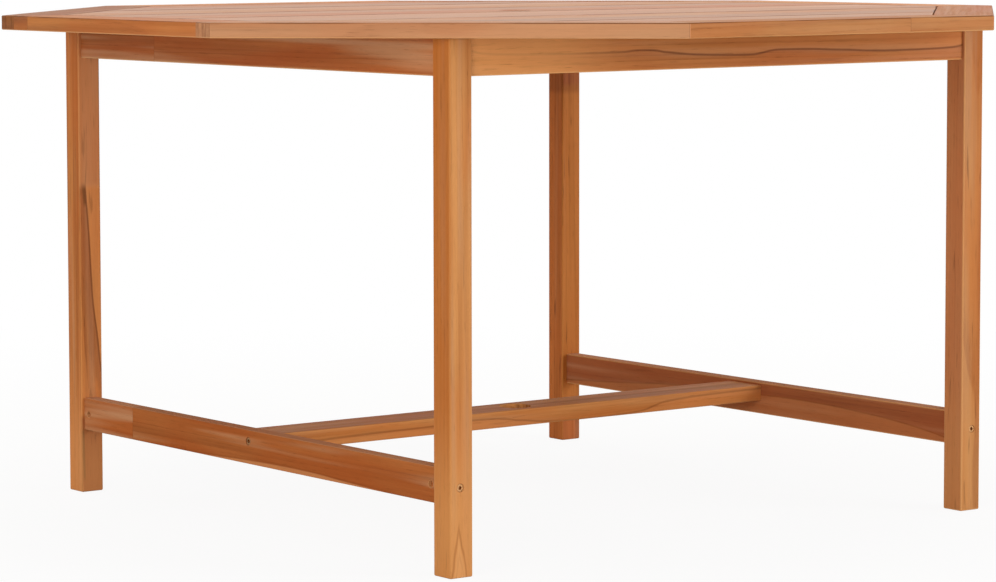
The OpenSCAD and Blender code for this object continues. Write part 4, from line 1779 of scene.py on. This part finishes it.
@dataclass
class Studio:
    """Pale floor, white surroundings, soft lamps and the camera at the picture's angle.

    Attributes:
        frame_size: Width and height of the picture, in pixels.
        focal: Distance from the lens to the picture plane, in pixels.
        optical_centre: Pixel that the lens looks at.
        spot: Place of the camera.
        yaw, pitch, roll: Turn of the camera, in degrees.
        sensor: Width of the camera's sensor, in millimetres.
        farthest: Distance up to which the camera sees.
        floor_half: Half the length of the floor's sides.
        floor_shade: How much light the floor gives back.
        floor_white: Share of plain white in the floor as seen near the table.
        shadow_reach: Distances at which the floor starts to turn white and is all white.
        fill: Light of the surroundings on the table.
        aim: Spot that the lamps point at.
        lamps: The lamps.
    """

    frame_size: Pair = (996, 582)
    focal: float = 3655.6
    optical_centre: Pair = (372, 211)
    spot: Triple = (-3.4183, -4.3968, 0.8776)
    yaw: float = 35.616
    pitch: float = 4.449
    roll: float = -0.228
    sensor: float = 36.0
    farthest: float = 100.0
    floor_half: float = 30.0
    floor_shade: float = 0.82
    floor_white: float = 0.92
    shadow_reach: Pair = (0.9, 2.6)
    fill: float = 0.50
    aim: Triple = (0, 0, 0.4)
    lamps: tuple[Lamp, ...] = (
        Lamp("key_lamp", (4.0, -5.2, 1.5), 2.8, 198),
        Lamp("side_lamp", (-5.5, -3.0, 1.5), 2.8, 150, (1.0, 0.90, 0.74)),
        Lamp("top_lamp", (0.5, 0.5, 5.0), 4.0, 110, (1.0, 0.95, 0.86)))

    def camera(self) -> None:
        """Set the camera: it looks yaw degrees right of +Y and pitch degrees down."""
        width, height = self.frame_size
        data = bpy.data.cameras.new("camera")
        data.sensor_width = self.sensor
        data.lens = self.focal / width * self.sensor
        data.shift_x = (width / 2 - self.optical_centre[0]) / width
        data.shift_y = (self.optical_centre[1] - height / 2) / width
        data.clip_end = self.farthest
        yaw, pitch, roll = (math.radians(angle) for angle in (self.yaw, self.pitch, self.roll))
        right = Vector((math.cos(yaw), -math.sin(yaw), 0))
        ahead = Vector((math.sin(yaw) * math.cos(pitch), math.cos(yaw) * math.cos(pitch), -math.sin(pitch)))
        up = right.cross(ahead)
        side = right * math.cos(roll) + up * math.sin(roll)
        upward = up * math.cos(roll) - right * math.sin(roll)
        turn = Matrix((side, upward, -ahead)).transposed().to_4x4()
        view = bpy.data.objects.new("camera", data)
        view.matrix_world = Matrix.Translation(self.spot) @ turn
        bpy.context.scene.collection.objects.link(view)
        bpy.context.scene.camera = view

    def floor(self) -> None:
        """Lay a pale floor that keeps a soft part of the table's shadow."""
        corners = rectangle(2 * self.floor_half, 2 * self.floor_half)
        mesh = bpy.data.meshes.new("floor")
        mesh.from_pydata(np.pad(corners, ((0, 0), (0, 1))).tolist(), [], [(0, 1, 2, 3)])
        floor = bpy.data.objects.new("floor", mesh)
        bpy.context.scene.collection.objects.link(floor)
        s = Shader("floor")
        grey = (self.floor_shade, self.floor_shade, self.floor_shade, 1)
        shaded = s.node("ShaderNodeBsdfDiffuse", 0, None, {"Color": grey})
        white = s.node("ShaderNodeEmission", 0, None, {"Color": (1, 1, 1, 1), "Strength": 1.0})
        seen = s.node("ShaderNodeLightPath", "Is Camera Ray")
        away = s.vector("LENGTH", "Value", s.node("ShaderNodeTexCoord", "Object")).ramp(*self.shadow_reach)
        pale = seen * (self.floor_white + away * (1 - self.floor_white))
        surface = s.node("ShaderNodeMixShader", 0, None, {0: pale, 1: shaded, 2: white})
        floor.data.materials.append(s.close(surface))

    def surroundings(self) -> None:
        """Make the world white where it is seen, also in gloss, and a soft fill elsewhere."""
        world = bpy.data.worlds.new("surroundings")
        bpy.context.scene.world = world
        world.use_nodes = True
        s = Nodes(world.node_tree)
        camera, gloss, through = (s.node("ShaderNodeLightPath", f"Is {ray} Ray")
                                  for ray in ("Camera", "Glossy", "Transmission"))
        seen = s.math("MAXIMUM", camera, s.math("MAXIMUM", gloss, through))
        colour = s.blend(seen, (self.fill, self.fill, self.fill, 1), (1, 1, 1, 1))
        s.output("ShaderNodeOutputWorld", s.node("ShaderNodeBackground", 0, None, {"Color": colour}))

    def build(self) -> None:
        """Set up the whole studio."""
        bpy.context.scene.view_settings.view_transform = "Standard"
        self.camera()
        self.floor()
        self.surroundings()
        for lamp in self.lamps:
            lamp.hang(self.aim)


def main() -> None:
    """Build the table and its studio."""
    logging.basicConfig(level=logging.INFO, format="%(name)s: %(message)s")
    Studio().build()
    TableTop().build()
    Legs().build()
    Aprons().build()
    Stretchers().build()
    InnerParts().build()


if __name__ == "__main__":
    main()
